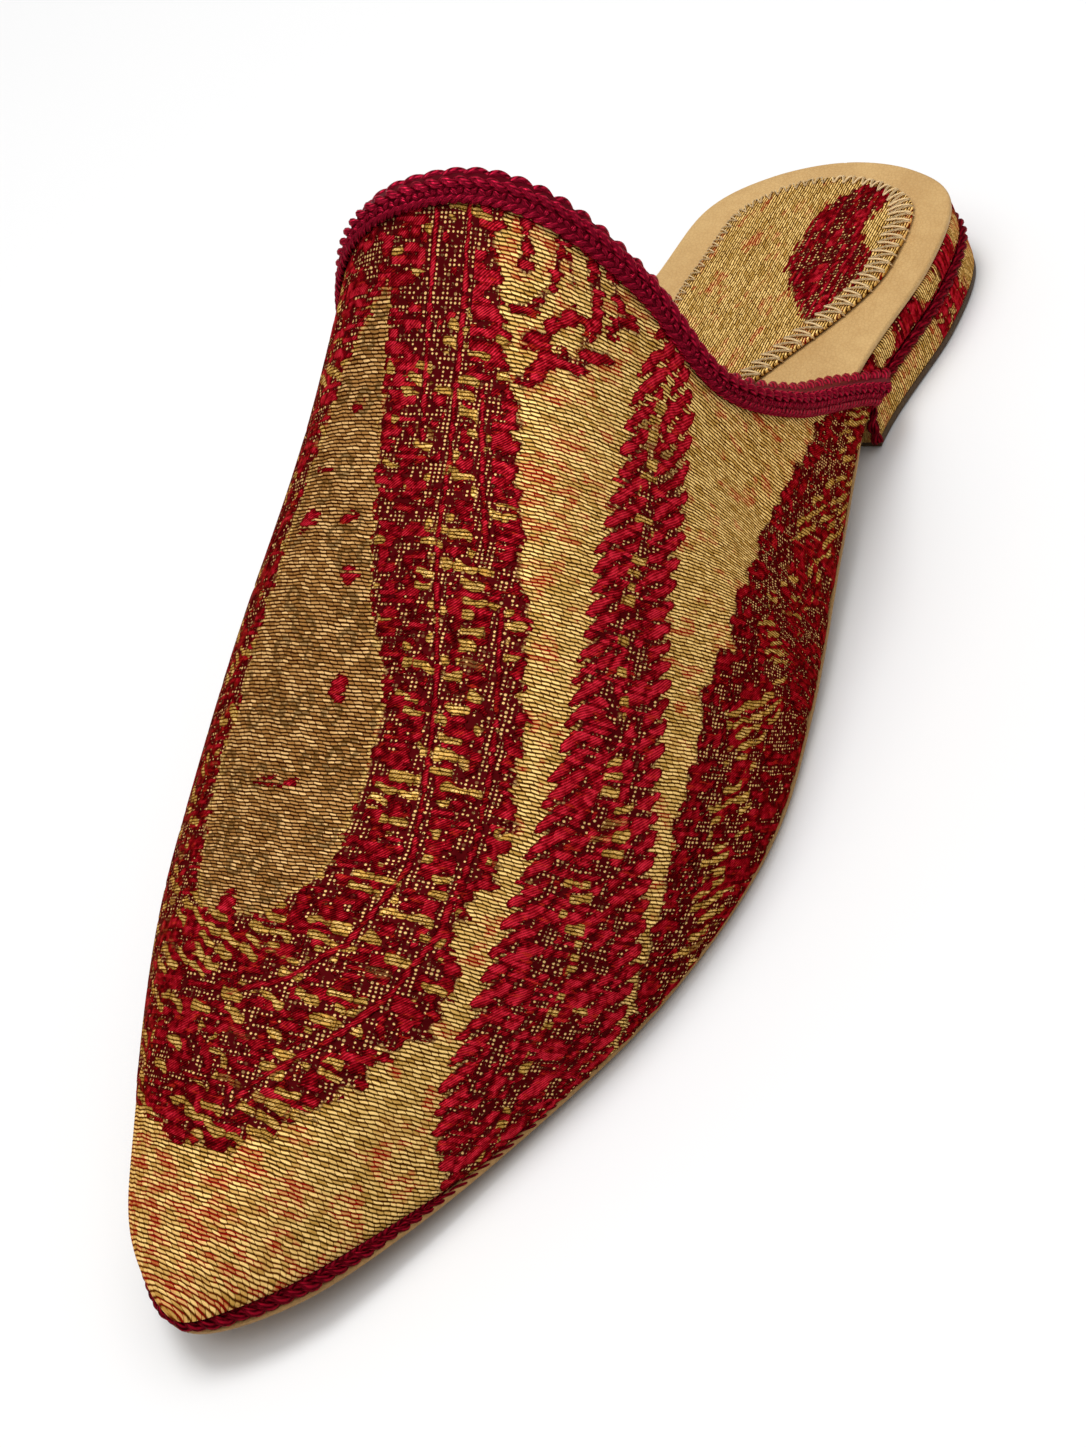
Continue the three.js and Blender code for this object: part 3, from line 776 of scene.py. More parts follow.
# Masks of the vamp cloth at a place across and a station, in mm inside the motif for satin and gold bars,
# then the shares of beaded and pale ground, the weft row and the share of red flecks
def vampChart(across, station):
    m = vampMotifs
    # weft rows bow toward the collar on the sides, more so at the toe
    bow = np.interp(station, [190, 235, 250, 257], [0.00375, 0.0075, 0.009, 0.011])
    middle = np.interp(station, [190, 240], [3, 6])
    beyond = np.maximum(np.abs(across) - 45, 0)
    row = station + bow * (across - middle) ** 2 + mix(-0.2, 0.12, smooth((station - 112) / 24)) * beyond
    dots = 0.3 + 0.9 * np.exp(-((across - 28) / 6) ** 2 - ((station - 134) / 17) ** 2)
    dots = dots + 0.85 * smooth((station - 236) / 8)
    jag = 1.5 * (rowNoise(row, 1.24, 1) - 0.5) + 1.8 * (softNoise(across / 1.9, row / 1.4, 2) - 0.5)
    inner = outlineReach(rounded(m["teardrop"]), across + 0.6 * jag, station + 0.3 * jag)[0]
    outer, alongOuter = outlineReach(rounded(m["paisley"]), across + jag, station + 0.4 * jag)
    outer = outer + 1.6 * (softNoise(alongOuter / 2.6, 0 * alongOuter, 3) - 0.5)
    band = np.minimum(outer, -inner)
    tone = np.where(band > 0.3, -0.07 * smooth((station - 125) / 30), smooth(inner / 1.2 + 0.2))
    lumps, pick = lumpField((across + 0.45 * row) / 2.5, (row - 0.3 * across) / 1.8, 5)
    satin = lumpy(lumps, pick > 0.26, 0.62, 1.9)
    veins = np.abs(softNoise(across / 2.1, row / 1.7, 6) - 0.5)
    satin = np.maximum(satin, 0.36 - 6.5 * veins)
    for line in m["beaded"]:
        near = lineReach(line, across, station)
        satin = np.where(near < 2.3, np.minimum(satin, lumpy(lumps, pick > 0.78, 0.6, 1.9)), satin)
    string = np.full(across.shape, 9.0)
    for line in m["tracks"]:
        near = lineReach(line, across + 0.15 * jag, station)
        string = np.minimum(string, near)
        satin = np.where(near < 1.4, 2.6 * (0.5 - near), satin)
    bars = np.full(across.shape, -9.0)
    for line, half in m["ladders"]:
        bars = np.maximum(bars, half - lineReach(line, across + 0.5 * jag, station))
    spots, spotPick = lumpField((across + 0.2 * row) / 4.4, row / 3.2, 7)
    lower = smooth((station - 196) / 14)
    bars = np.maximum(bars, np.where(spotPick > mix(0.60, 0.16, lower), 3.6 * (0.56 - spots), -9))
    hem = 0.9 - 0.8 * np.abs(outer - 1.3) - 1.6 * (pick < 0.25 + 0.15 * lower)
    satin = np.minimum(np.maximum(satin, np.where(outer < 4, hem, -9)), band)
    bars = np.minimum(np.minimum(bars, band), string - 0.8)
    pearl = smooth(band / 0.5 + 0.2) * np.where(string < 1.4, 2, 1)

    w = np.where(across < -6, -12 - across, across)   # the far side mirrors the stripes
    edge, ropeSatin, ropeBars = ropeChart(w, station, jag)
    inRope = edge > -0.2
    satin = np.where(inRope, ropeSatin, satin)
    pearl = np.where(inRope, smooth((station - 116) / 12) * smooth(edge / 0.8), pearl)
    tone = np.where(inRope, 0, tone)
    bars = np.where(inRope, np.maximum(bars, ropeBars), bars)
    for line, half in m["ropeBars"]:
        bars = np.maximum(bars, half - lineReach(line, w + 0.5 * jag, station))

    inward, sideSatin, sideBars = sideChart(w, station, row, jag, spots, spotPick)
    inSide = (inward > -0.1) & ~inRope
    satin = np.where(inSide, sideSatin, satin)
    bars = np.where(inSide, sideBars, bars)
    pearl = np.where(inSide, smooth(inward / 0.6) * np.where(inward < 7.4, 2, 1), pearl)
    # the side field's satin darkened: partly painted shade of the side turned away from the light
    tone = np.where(inSide, -0.09, tone)
    tone = np.where((across < -24) & (band > 0), -0.1, tone)

    for line, half in m["sprigs"]:
        near = half + 0.6 * jag - lineReach(line, across, station)
        satin = np.maximum(satin, np.minimum(near, np.where(pick > 0.3, 0.6, 1.6 * (0.5 - lumps))))
        pearl = np.maximum(pearl, smooth((near + 0.2) / 0.4))
    for x, s, rx, ry, turn in m["leaves"]:
        leaf = np.clip(blob(across + 0.5 * jag, station, x, s, rx, ry, turn), -4, 1)
        satin = np.maximum(satin, leaf * min(rx, ry))
    return np.clip(satin, -1, 1), np.clip(bars, -3, 3), pearl, tone, row, dots


girth = dict(first=4, rows=240, angles=360)


# Distance round the vamp from its crest, lateral positive, in a table over rows and angles
def girthTable():
    rows = np.linspace(girth["first"], lastRow, girth["rows"] + 1)
    angles = np.linspace(0, np.pi, girth["angles"] + 1)
    points = vampPoint(rows[:, None], angles[None, :])
    steps = np.linalg.norm(np.diff(points, axis=1), axis=-1)
    length = np.concatenate([np.zeros((len(rows), 1)), np.cumsum(steps, 1)], 1)
    crest = girth["angles"] // 2
    return length[:, crest:crest + 1] - length


girths = girthTable()


def girthAt(row, angle):
    a = (row - girth["first"]) / (lastRow - girth["first"]) * girth["rows"]
    b = angle / np.pi * girth["angles"]
    i = np.clip(np.floor(a).astype(int), 0, girth["rows"] - 1)
    j = np.clip(np.floor(b).astype(int), 0, girth["angles"] - 1)
    a, b = a - i, b - j
    return mix(mix(girths[i, j], girths[i + 1, j], a), mix(girths[i, j + 1], girths[i + 1, j + 1], a), b)


# grid of the cloth, of which every sixth line makes the lining; nearSide is the share of columns given to the
# first part of the girth, nearGirth
vamp = dict(lengthwise=264, around=360, lining=6, floatLift=0.24, barLift=0.16, nearSide=0.8, nearGirth=0.62,
            girthStation=140.0, toeGap=0.07, liningGap=0.05)


# Rows and angles of the cloth's grid: even steps from the collar to the toe, closer columns on the near side
def upperGrid(n, m):
    fine = np.linspace(0, np.pi, 2001)
    around = lengths(vampPoint(np.full(2001, rowAt(vamp["girthStation"])), fine))
    share = np.linspace(0, 1, m + 1)
    near, far = vamp["nearSide"], vamp["nearGirth"]
    share = np.where(share < near, share / near * far, far + (share - near) / (1 - near) * (1 - far))
    angle = np.interp(share * around[-1], around, fine)
    crestRows = np.linspace(girth["first"], lastRow - vamp["toeGap"], 3001)
    crest = lengths(vampPoint(crestRows, np.full(3001, 1.57)))
    start = np.interp(behindCollar(angle, last["braidHem"]), crestRows, crest)
    run = start + (crest[-1] - start) * np.linspace(0, 1, n + 1)[:, None]
    row = np.interp(run, crest, crestRows)
    return row, np.broadcast_to(angle, row.shape)


# Faces of the fine outer grid and the coarse inner one, joined along the collar and sole edges and zipped at
# the toe; k is the number of fine steps in a coarse one
def upperFaces(n, m, k):
    rows, big, few, small = n + 1, m + 1, n // k + 1, m // k + 1
    size = rows * big

    def zipEnd(first, count):
        i = np.arange(count // 2)
        a, b, c, d = first + i, first + count - i, first + count - i - 1, first + i + 1
        return np.concatenate([np.stack([a, b, c], -1), np.stack([a, c, d], -1)])

    def rim(far, near):
        j = np.arange(len(near) - 1)
        fans = np.stack([np.repeat(near[:-1], k), far[:-1], far[1:]], -1)
        return np.concatenate([fans, np.stack([near[j], far[k * (j + 1)], near[j + 1]], -1)])

    o, i = np.arange(size).reshape(rows, big), size + np.arange(few * small).reshape(few, small)
    rims = [rim(o[0], i[0]), rim(o[::-1, 0], i[::-1, 0]), rim(o[:, -1], i[:, -1])]
    tip = np.array([[o[-1, 0], i[-1, 0], i[-1, -1]], [o[-1, 0], i[-1, -1], o[-1, -1]]])
    return np.concatenate([gridFaces(rows, big)[:, ::-1], zipEnd(o[-1, 0], m), gridFaces(few, small, size),
                           zipEnd(i[-1, 0], m // k)[:, ::-1], *rims, tip])


# Upper: cloth whose floats and bars stand out a little, fading at the collar and toe, with a plain lining
def makeUpper():
    n, m, k = vamp["lengthwise"], vamp["around"], vamp["lining"]
    row, turn = upperGrid(n, m)
    across = girthAt(row, turn)
    satin, bars, pearl, tone, weft, dots = vampChart(across, sectionAt(row)[0])
    relief = np.maximum(vamp["floatLift"] * smooth((satin + 0.3) / 0.6), vamp["barLift"] * smooth(bars + 0.5))
    steps = np.arange(n + 1)
    relief = relief * smooth(steps / 6)[:, None] * smooth((n - steps) / 4)[:, None]
    outer = vampOffset(row, turn, relief).reshape(-1, 3)
    inner = vampOffset(row[::k, ::k], turn[::k, ::k], -last["wall"] + vamp["liningGap"]).reshape(-1, 3)
    points = np.concatenate([outer, inner])
    faces = outward(points, upperFaces(n, m, k))
    blank = np.zeros((len(inner), 3))
    cloth, motif = (np.concatenate([np.stack(columns, -1).reshape(-1, 3), blank])
                    for columns in ((across, weft, dots), (satin, bars, pearl)))
    values = dict(cloth=cloth, motif=motif, tone=np.concatenate([tone.ravel(), blank[:, 0]]))
    lining = (faces >= len(outer)).all(1) * 1
    return makePiece("upper_cloth", points, faces, [vampCloth, liningLeather], ["upper"], values,
                     lining, 70)


# Cord: a circle carried along a path, with out giving the side that its turn starts from
def tube(path, radius, sides, out):
    run = unit(np.gradient(path, axis=0))
    side = unit(out - (out * run).sum(-1, keepdims=True) * run)
    rise = np.cross(run, side)
    a = 2 * np.pi * np.arange(sides) / sides
    radius = np.broadcast_to(radius, (len(path),))[:, None, None]
    rings = path[:, None] + radius * (np.cos(a)[:, None] * side[:, None] + np.sin(a)[:, None] * rise[:, None])
    yarn = np.stack(np.broadcast_arrays(lengths(path)[:, None], np.arange(sides) / sides, 0.0), -1)
    points = rings.reshape(-1, 3)
    return points, outward(points, ringFaces(len(path), sides)), yarn.reshape(-1, 3)


# Path at even steps of its own length, with its outward directions carried along
def evenly(path, step, out):
    length = lengths(path)
    at = np.linspace(0, length[-1], max(4, int(length[-1] / step)))
    return [np.stack([np.interp(at, length, column) for column in table.T], -1) for table in (path, out)]


# Rope: two strands wound round a centre line in the plane of side and rise
def rope(centre, side, rise, wind, lay, thick):
    length = lengths(centre)
    parts = []
    for k in (0, 1):
        phase = (2 * np.pi * (length / lay + k / 2))[:, None]
        shift = np.cos(phase) * side + np.sin(phase) * rise
        parts.append(tube(centre + np.broadcast_to(wind, length.shape)[:, None] * shift, thick, 8, shift))
    return parts


# One piece of yarn from several meshes, each with points, faces and yarn values
def makeCord(name, parts, material, nodes):
    starts = np.cumsum([0] + [len(part[0]) for part in parts[:-1]])
    points, yarn = (np.concatenate([part[k] for part in parts]) for k in (0, 2))
    faces = np.concatenate([part[1] + start for part, start in zip(parts, starts)])
    return makePiece(name, points, faces, [material], nodes, dict(yarn=yarn), crease=80)


# ropes of the collar: turn, place back from the collar line and out from the vamp's face, winding in both
# directions, thickness with its pulse and the pulse's lead, sides
collarStitch = dict(
    step=0.33, knit=2.3, bandRings=150,
    rim=dict(lay=7.6, back=4.75, out=-0.9, wide=0.75, deep=0.75, thick=0.7396, pulse=0.172, lead=0.7,
             sides=8),
    front=dict(lay=-5.2, back=3.2, out=1.15, wide=0.5, deep=0.45, thick=0.512, pulse=0.192, lead=0, sides=8),
    hem=dict(lay=3.4, back=0.7, out=0.8, wide=0.34, deep=0.32, thick=0.48, pulse=0, lead=0, sides=6))
# folded band under the stitches: back from the collar line, out from the vamp's face
braidSection = np.array([(0.5, 0.5), (0.3, 0.9), (1.2, 1.2), (3.4, 1.15), (4.9, 0.6), (5.3, -1), (5.2, -2.6),
                         (3.8, -3.2), (0.6, -3.1), (0.3, -2.7), (4.7, -2.6), (4.7, 0.5)])


def collarPlace(angle, back, out):
    back, out = np.broadcast_to(back, angle.shape), np.broadcast_to(out, angle.shape)
    return vampOffset(behindCollar(angle, back), angle, out)


# Collar: a folded band, a rope of plump loops on its rim, a rope and knitted rows on its faces, a rolled hem
def makeBraid():
    c = collarStitch
    fine = np.linspace(0, np.pi, 1500)
    length = lengths(collarPlace(fine, 3.0, 0.8))
    at = np.arange(0, length[-1], c["step"])
    angle = np.interp(at, length, fine)
    facing = vampSlopes(collarRow(angle), angle)[1]

    def row(back, out, radius, sides):
        return tube(collarPlace(angle, back, out), radius, sides, facing)

    count, size = c["bandRings"], len(braidSection)
    few = np.interp(np.linspace(0, length[-1], count), length, fine)
    band = np.stack([collarPlace(few, back, out) for back, out in braidSection], 1).reshape(-1, 3)
    caps = np.array(tessellate_polygon([[Vector((back, out, 0)) for back, out in braidSection]]))
    faces = np.concatenate([ringFaces(count, size, caps=False), caps[:, ::-1], (count - 1) * size + caps])
    # the band's third yarn value is 1 all over: painted shade where the band shows between the ropes
    parts = [(band, outward(band, faces), np.tile([0.0, 0.0, 1.0], (len(band), 1)))]
    for r in (c["rim"], c["front"], c["hem"]):
        for k in (0, 1):
            phase = 2 * np.pi * (at / r["lay"] + k / 2)
            parts.append(row(r["back"] + r["wide"] * np.cos(phase), r["out"] + r["deep"] * np.sin(phase),
                             r["thick"] + r["pulse"] * np.sin(phase + r["lead"]), r["sides"]))
    phase = 2 * np.pi * at / c["knit"]
    zigzag = 2 / np.pi * np.arcsin(0.98 * np.sin(phase))
    pulse = np.cos(2 * phase)
    parts.append(row(1.85 + 0.62 * zigzag, 1.15 + 0.2 * pulse, 0.42 * (0.85 + 0.3 * pulse), 6))
    parts.append(row(3.0 + 0.9 * zigzag, -3.2, 0.55, 6))   # inner face
    parts.append(row(0.7, -3.1, 0.75, 8))
    return makeCord("collar_braid_crochet", parts, crimsonYarn, ["collar_braid"])


# Plan path round the heel or toe from one side to the other, with its outward direction
def roundPath(rows, inset, height):
    sides = [np.stack(edgeLine(rows, side, inset), -1) for side in (1, -1)]
    outs = [np.stack(edgeLine(rows, side, inset - 1.0), -1) for side in (1, -1)]
    flat, far = np.concatenate([sides[0], sides[1][::-1]]), np.concatenate([outs[0], outs[1][::-1]])
    out = np.stack([far[:, 0] - flat[:, 0], flat[:, 1] - far[:, 1], 0 * flat[:, 0]], -1)
    return place(flat[:, 0], flat[:, 1], height(flat[:, 1])), out


piping = dict(end=57.0, inset=1.0, cornerInset=0.7, level=8.0, drop=6.2, wind=0.45, thick=0.66, lay=5.2,
              step=0.3)


# Cord round the heel's top that turns down the lateral corner of the heel's front
def makePiping():
    c = piping
    path, out = roundPath(np.linspace(rowAt(c["end"]), 0.05, 400), c["inset"], lambda s: c["level"] + 0 * s)
    down = np.linspace(1, 0, 40)
    station = c["end"] + c["drop"] * np.sin(down * np.pi / 2) ** 0.8
    x, s = edgeLine(rowAt(station), 1, mix(c["inset"], c["cornerInset"], smooth(down / 0.4)))
    corner = place(x, s, c["level"] - c["drop"] * (1 - np.cos(down * np.pi / 2)) ** 1.2)[:-1]
    out = np.concatenate([np.tile(out[:1], (len(corner), 1)), out])
    path, out = evenly(np.concatenate([corner, path]), c["step"], out)
    side = unit(out)
    rise = np.cross(unit(np.gradient(path, axis=0)), side)
    parts = rope(path, side, rise, c["wind"], c["lay"], c["thick"])
    return makeCord("heel_piping_cord", parts, darkYarn, ["heel_piping"])


# insets, drops and sizes go from the first to the second value toward the toe
welt = dict(start=200.0, insets=(0.45, 0.75), drops=(0.4, 0.1), sizes=(0.46, 1.08), lay=4.4, step=0.25,
            coreInset=1.3, coreLift=0.15, coreSizes=(0.45, 1.1), coreStep=0.6)


def weltLevel(s):
    return soleTop(s) + edgeLift(s) / 2 - mix(*welt["drops"], smooth((s - 236) / 14))


# Welt cord: two strands that lie on the outsole's edge under the upper, thicker toward the toe
def makeWelt():
    c = welt
    rows = np.linspace(rowAt(c["start"]), lastRow - 0.05, 500)
    inset = mix(*c["insets"], smooth((sectionAt(rows)[0] - 215) / 25))
    path, out = roundPath(rows, inset, weltLevel)
    path, out = evenly(path, c["step"], out)
    size = mix(*c["sizes"], smooth((last["length"] / 2 - path[:, 1] - 222) / 24))
    size = size * (0.8 + 0.4 * softNoise(path[:, 0] / 2.5, path[:, 1] / 2.5, 61))
    parts = rope(path, unit(out), np.array([0.0, 0.0, 1.0]), 0.5 * size, c["lay"], 0.56 * size)
    # plain core behind the strands closes the seam from inside
    path, out = roundPath(rows[:-6], inset[:-6] + c["coreInset"], lambda s: weltLevel(s) + c["coreLift"])
    path, out = evenly(path, c["coreStep"], out)
    size = mix(*c["coreSizes"], smooth((last["length"] / 2 - path[:, 1] - 215) / 24))
    parts.append(tube(path, size, 8, out))
    return makeCord("welt_cord_rope", parts, darkYarn, ["welt_cord"])


# Plate along the outsole's outline: flat faces under and on top, and a rim between them given as (share of
# the height, bulge). Each ring also gets the length along the edge from the heel's back, lateral positive
def plateRings(rows, inset, under, top, across, rim):
    t = np.linspace(0, 1, across + 1)

    def face(level, height):
        (xm, sm), (xl, sl) = (edgeLine(rows, side, inset(rows, side, level)) for side in (-1, 1))
        x, s = mix(xm[:, None], xl[:, None], t), mix(sm[:, None], sl[:, None], t)
        return place(x, s, height(s))

    def wall(side, share, bulge):
        x, s = edgeLine(rows, side, inset(rows, side, share) - bulge)
        return place(x, s, mix(under(s), top(s), share))[:, None]

    rings = np.concatenate([face(0, under), *[wall(1, *r) for r in rim], face(1, top)[:, ::-1],
                            *[wall(-1, *r) for r in rim[::-1]]], 1)
    fine = np.linspace(0, lastRow, 4001)
    length = np.interp(rows, fine, lengths(np.stack(edgeLine(fine, 1, 0.5), -1)))
    signs = np.concatenate([2 * t - 1, np.ones(len(rim)), 1 - 2 * t, -np.ones(len(rim))])
    return rings, length[:, None] * signs


def makePlate(name, rings, material, node, values=None, crease=40):
    points = rings.reshape(-1, 3)
    faces = outward(points, ringFaces(rings.shape[0], rings.shape[1]))
    return makePiece(name, points, faces, [material], [node], values, crease=crease)


roundRim = [(0.06, 0.22), (0.2, 0.42), (0.4, 0.5), (0.6, 0.5), (0.8, 0.42), (0.94, 0.22)]
heelRows = np.concatenate([np.linspace(0.03, 1, 50), np.linspace(1.03, 4.05, 110)])
soleRows = np.concatenate([np.linspace(0.03, 1, 24), np.linspace(1.05, lastRow - 1, 150),
                           np.linspace(lastRow - 0.97, lastRow - 0.012, 60)])


# Rim that swells to a bulge between two flat faces, more squarely with a higher power
def fullRim(bulge, power, count):
    shares = np.linspace(0.02, 0.98, count)
    return [(share, bulge * math.sqrt(max(0.0, 1 - (2 * share - 1) ** power))) for share in shares]


# Rows from the heel's back to a station
def rowsTo(station):
    return np.concatenate([heelRows[heelRows < rowAt(station)], [rowAt(station)]])


# Rows of a piece that goes under the braid's end, where they lie closer
def wingRows(end, count):
    return np.concatenate([heelRows[heelRows < rowAt(55.0)], np.linspace(rowAt(55.6), rowAt(63.0), 20),
                           np.linspace(rowAt(64.0), end, count)])


# Inset that steps inward where a piece goes under the braid's end, higher parts a little farther forward
def wingInset(row, flush, inside, share):
    return mix(flush, inside, smooth((sectionAt(row)[0] - mix(56.0, 60.0, share)) / 2))


# inset of the top edge, bevel below it, and how far the sole shows past the upper along the sides
outsole = dict(inset=0.5, bevel=0.9, spread=0.8, pipingRoom=1.1)


def makeOutsole():
    c = outsole
    deep = piping["inset"] + c["pipingRoom"] + last["gap"]

    def inset(row, side, share):
        s = sectionAt(row)[0]
        spread = smooth((s - 64) / 14) * (1 - 0.8 * smooth((s - 135) / 45)) * smooth((224 - s) / 24)
        behindPiping = deep * smooth((piping["end"] + 5.5 - s) / 4)
        return c["inset"] + c["bevel"] * (1 - share) ** 2 - c["spread"] * spread + behindPiping

    rings, _ = plateRings(soleRows, inset, soleUnder, soleTop, 8, roundRim)
    return makePlate("outsole_leather", rings, soleLeather, "outsole")


insole = dict(flush=0.9, wingInset=4.6, foreInset=3.4, wingShare=1.35, edge=0.45, endRow=11.8)


def makeInsole():
    c = insole

    def inset(row, side, share):
        inside = mix(c["wingInset"], c["foreInset"], smooth((sectionAt(row)[0] - 90) / 40))
        return wingInset(row, c["flush"], inside, c["wingShare"]) + c["edge"]

    rings, _ = plateRings(wingRows(c["endRow"], 120), inset, insoleUnder, insoleTop, 10, roundRim)
    return makePlate("insole_leather_bed", rings, tanLeather, "insole")


# Values of cloth wrapped on a wall or laid flat: place on the cloth, satin and beaded ground, with no bars
def clothValues(u, v, satin, pearl):
    motif = np.stack(np.broadcast_arrays(np.clip(satin, -1, 1), -9.0, pearl), -1).reshape(-1, 3)
    cloth = np.stack(np.broadcast_arrays(u, v, 0.6), -1).reshape(-1, 3)
    return dict(cloth=cloth, motif=motif, tone=np.zeros(len(motif)))


# gold arches on the dark red rand: distance between them, middle of one, half width, height of their foot
rand = dict(period=16.5, centre=52.0, half=3.6, foot=9.9, flush=0.9, wingInset=4.8, edge=0.5, lowGap=0.25,
            highGap=0.3, bulge=0.55)


def makeRand():
    c = rand

    def inset(row, side, share):
        return wingInset(row, c["flush"], c["wingInset"], share) + c["edge"]

    rings, length = plateRings(wingRows(rowAt(last["randEnd"]), 40), inset,
                               lambda s: soleTop(s) + c["lowGap"], lambda s: insoleUnder(s) - c["highGap"], 3,
                               fullRim(c["bulge"], 4, 13))
    height = rings[..., 2]
    local = (length - c["centre"] + c["period"] / 2) % c["period"] - c["period"] / 2
    jag = 1.2 * (softNoise(length / 1.3, height / 1.2, 31) - 0.5)
    gold = np.minimum(c["half"] - np.abs(local), height - c["foot"] - 0.05 * local ** 2) + jag
    lumps, pick = lumpField(length / 1.8, height / 1.5, 32)
    satin = np.minimum(-gold, np.where(pick < 0.85, 0.6, 1.6 * (lumps - 0.35)))
    values = clothValues(height, length, satin, smooth(-gold / 0.5))
    return makePlate("rand_brocade", rings, wrapCloth, "rand", values, 60)


# red patches: from and to along the edge from the heel's back, from and to in height, share of lumps
heel = dict(front=62.9, inset=0.95, under=1.45, top=6.85, bulge=0.45,
            patches=[(40.5, 54, 1, 8, 0.85), (13, 24, 1, 8, 0.8), (-8, 3, 1, 5, 0.7), (-38, -24, 1, 8, 0.8),
                     (-60, -50, 1, 8, 0.8)])


def heelSatin(length, height):
    lumps, pick = lumpField(length / 1.9 + 0.3 * height, height / 1.5, 41)
    jag = 1.6 * (softNoise(length / 1.5, height / 1.2, 42) - 0.5)
    satin = np.full(length.shape, -1.0)
    for start, stop, low, high, share in heel["patches"]:
        inside = np.minimum(length - start, stop - length)
        inside = np.minimum(inside, np.minimum(height - low, high - height))
        fill = np.where(pick < share, 1.6 * (0.75 - lumps), -0.4)
        satin = np.maximum(satin, np.minimum(inside + jag, fill))
    return satin


def makeHeel():
    c = heel
    rings, length = plateRings(rowsTo(c["front"]), lambda row, side, share: c["inset"],
                               lambda s: c["under"] + 0 * s, lambda s: c["top"] + 0 * s, 6,
                               fullRim(c["bulge"], 6, 15))
    height = rings[..., 2]
    satin = heelSatin(length, height)
    values = clothValues(height, length, satin, smooth(satin + 0.6))
    return makePlate("heel_brocade", rings, wrapCloth, "heel", values, 60)


lift = dict(front=62.3, inset=0.9, extra=0.2)


def makeLift():
    c = lift
    rim = [(share, 0.5 * bulge) for share, bulge in roundRim]
    rings, _ = plateRings(rowsTo(c["front"]), lambda row, side, share: c["inset"], lambda s: 0 * s,
                          lambda s: last["liftThick"] + c["extra"] + 0 * s, 4, rim)
    return makePlate("heel_lift_leather", rings, liftLeatherAndContactShade, "heel_lift")


# pad on the insole: insets of its edge at the back and sides and what they grow by toward its point, then the
# red patch as an outline across and along
sock = dict(end=71.0, turn=33.0, back=6.8, lateral=7.5, medial=9.8, lateralClose=21.4, medialClose=19.1,
            lift=0.3, thick=0.8, edge=0.25, relief=0.2,
            patch=[(8, 10.5), (4.5, 13.5), (2.5, 17), (1.6, 22), (1.5, 28), (2.2, 34), (4.5, 38.5), (8, 43),
                   (11, 47), (13, 49), (15.2, 45), (17, 40), (18.3, 34), (18, 30), (15.5, 27.5), (13.6, 24),
                   (13.4, 19.5), (15, 16.5), (15.3, 13.5), (12, 10.5)])


def sockInset(row, side):
    close = clamp((sectionAt(row)[0] - sock["turn"]) / (sock["end"] - sock["turn"])) ** 2.2
    far, grow = (sock["lateral"], sock["lateralClose"]) if side > 0 else (sock["medial"], sock["medialClose"])
    return mix(sock["back"], far, smooth(row / 2)) + grow * close


def sockUnder(s):
    return insoleTop(s) + sock["lift"]


def sockTop(s):
    return sockUnder(s) + sock["thick"]


def makeSock():
    c = sock
    rows = np.concatenate([np.linspace(0.03, 1, 50), np.linspace(1.02, rowAt(c["end"]), 170)])
    rings, _ = plateRings(rows, lambda row, side, share: sockInset(row, side) + c["edge"], sockUnder, sockTop,
                          90, [(0.15, 0.15), (0.5, 0.25), (0.85, 0.15)])
    x, station = rings[..., 0] + last["middleX"], last["length"] / 2 - rings[..., 1]
    jag = 1.3 * (softNoise(x / 1.2, station / 1.4, 51) - 0.5)
    reach, _ = outlineReach(rounded(c["patch"]), x + jag, station + 0.5 * jag)
    lumps, pick = lumpField(x / 1.3, station / 2.2 + 0.4 * x, 52)
    satin = np.minimum(reach, np.where(pick < 0.6, 1.2 * (0.60 - lumps), 1.3 * (0.38 - lumps)))
    top = rings[..., 2] > sockUnder(station) + 0.5 * c["thick"]
    rings[..., 2] += top * c["relief"] * smooth(satin + 0.5)
    values = clothValues(station + 0.25 * x, x, satin, smooth(reach / 0.6))
    return makePlate("sock_brocade", rings, sockCloth, "sock_panel", values, 60)


# side, length of a stitch, thread's radius, reach onto the pad at the back and farther on
stitch = dict(outside=0.5, step=0.22, endGap=6.0, rise=0.12, loop=0.35,
              sides=[(1, 2.35, 0.23, 2.2, 5.2), (-1, 1.9, 0.15, 2.2, 2.2)])


# Zigzag stitches over the sock panel's edge: a thread that swings across the edge as it goes round
def makeStitches():
    c = stitch
    parts = []
    for side, pitch, thick, backWide, wide in c["sides"]:
        rows = np.linspace(0.06, rowAt(sock["end"] - c["endGap"]), 3000)
        length = lengths(np.stack(edgeLine(rows, side, sockInset(rows, side)), -1))
        at = np.arange(0, length[-1], c["step"])
        row = np.interp(at, length, rows)
        sway = 0.5 + 0.5 * (2 / np.pi) * np.arcsin(0.985 * np.sin(2 * np.pi * at / pitch))
        reach = mix(backWide, wide, smooth((at - 10) / 14))
        edge = sockInset(row, side)
        inset = edge - c["outside"] + (reach + c["outside"]) * sway
        x, s = edgeLine(row, side, inset)
        onPanel = smooth((inset - edge) / 0.6 + 0.6)
        z = mix(insoleTop(s), sockTop(s), onPanel) + c["rise"] + c["loop"] * np.sin(np.pi * clamp(sway)) ** 2
        parts.append(tube(place(x, s, z), thick, 6, np.tile([0.0, 0.0, 1.0], (len(x), 1))))
    return makeCord("sock_zigzag_stitches", parts, creamThread, ())


makeUpper()
makeBraid()
makePiping()
makeWelt()
makeOutsole()
makeInsole()
makeRand()
makeHeel()
makeLift()
makeSock()
makeStitches()

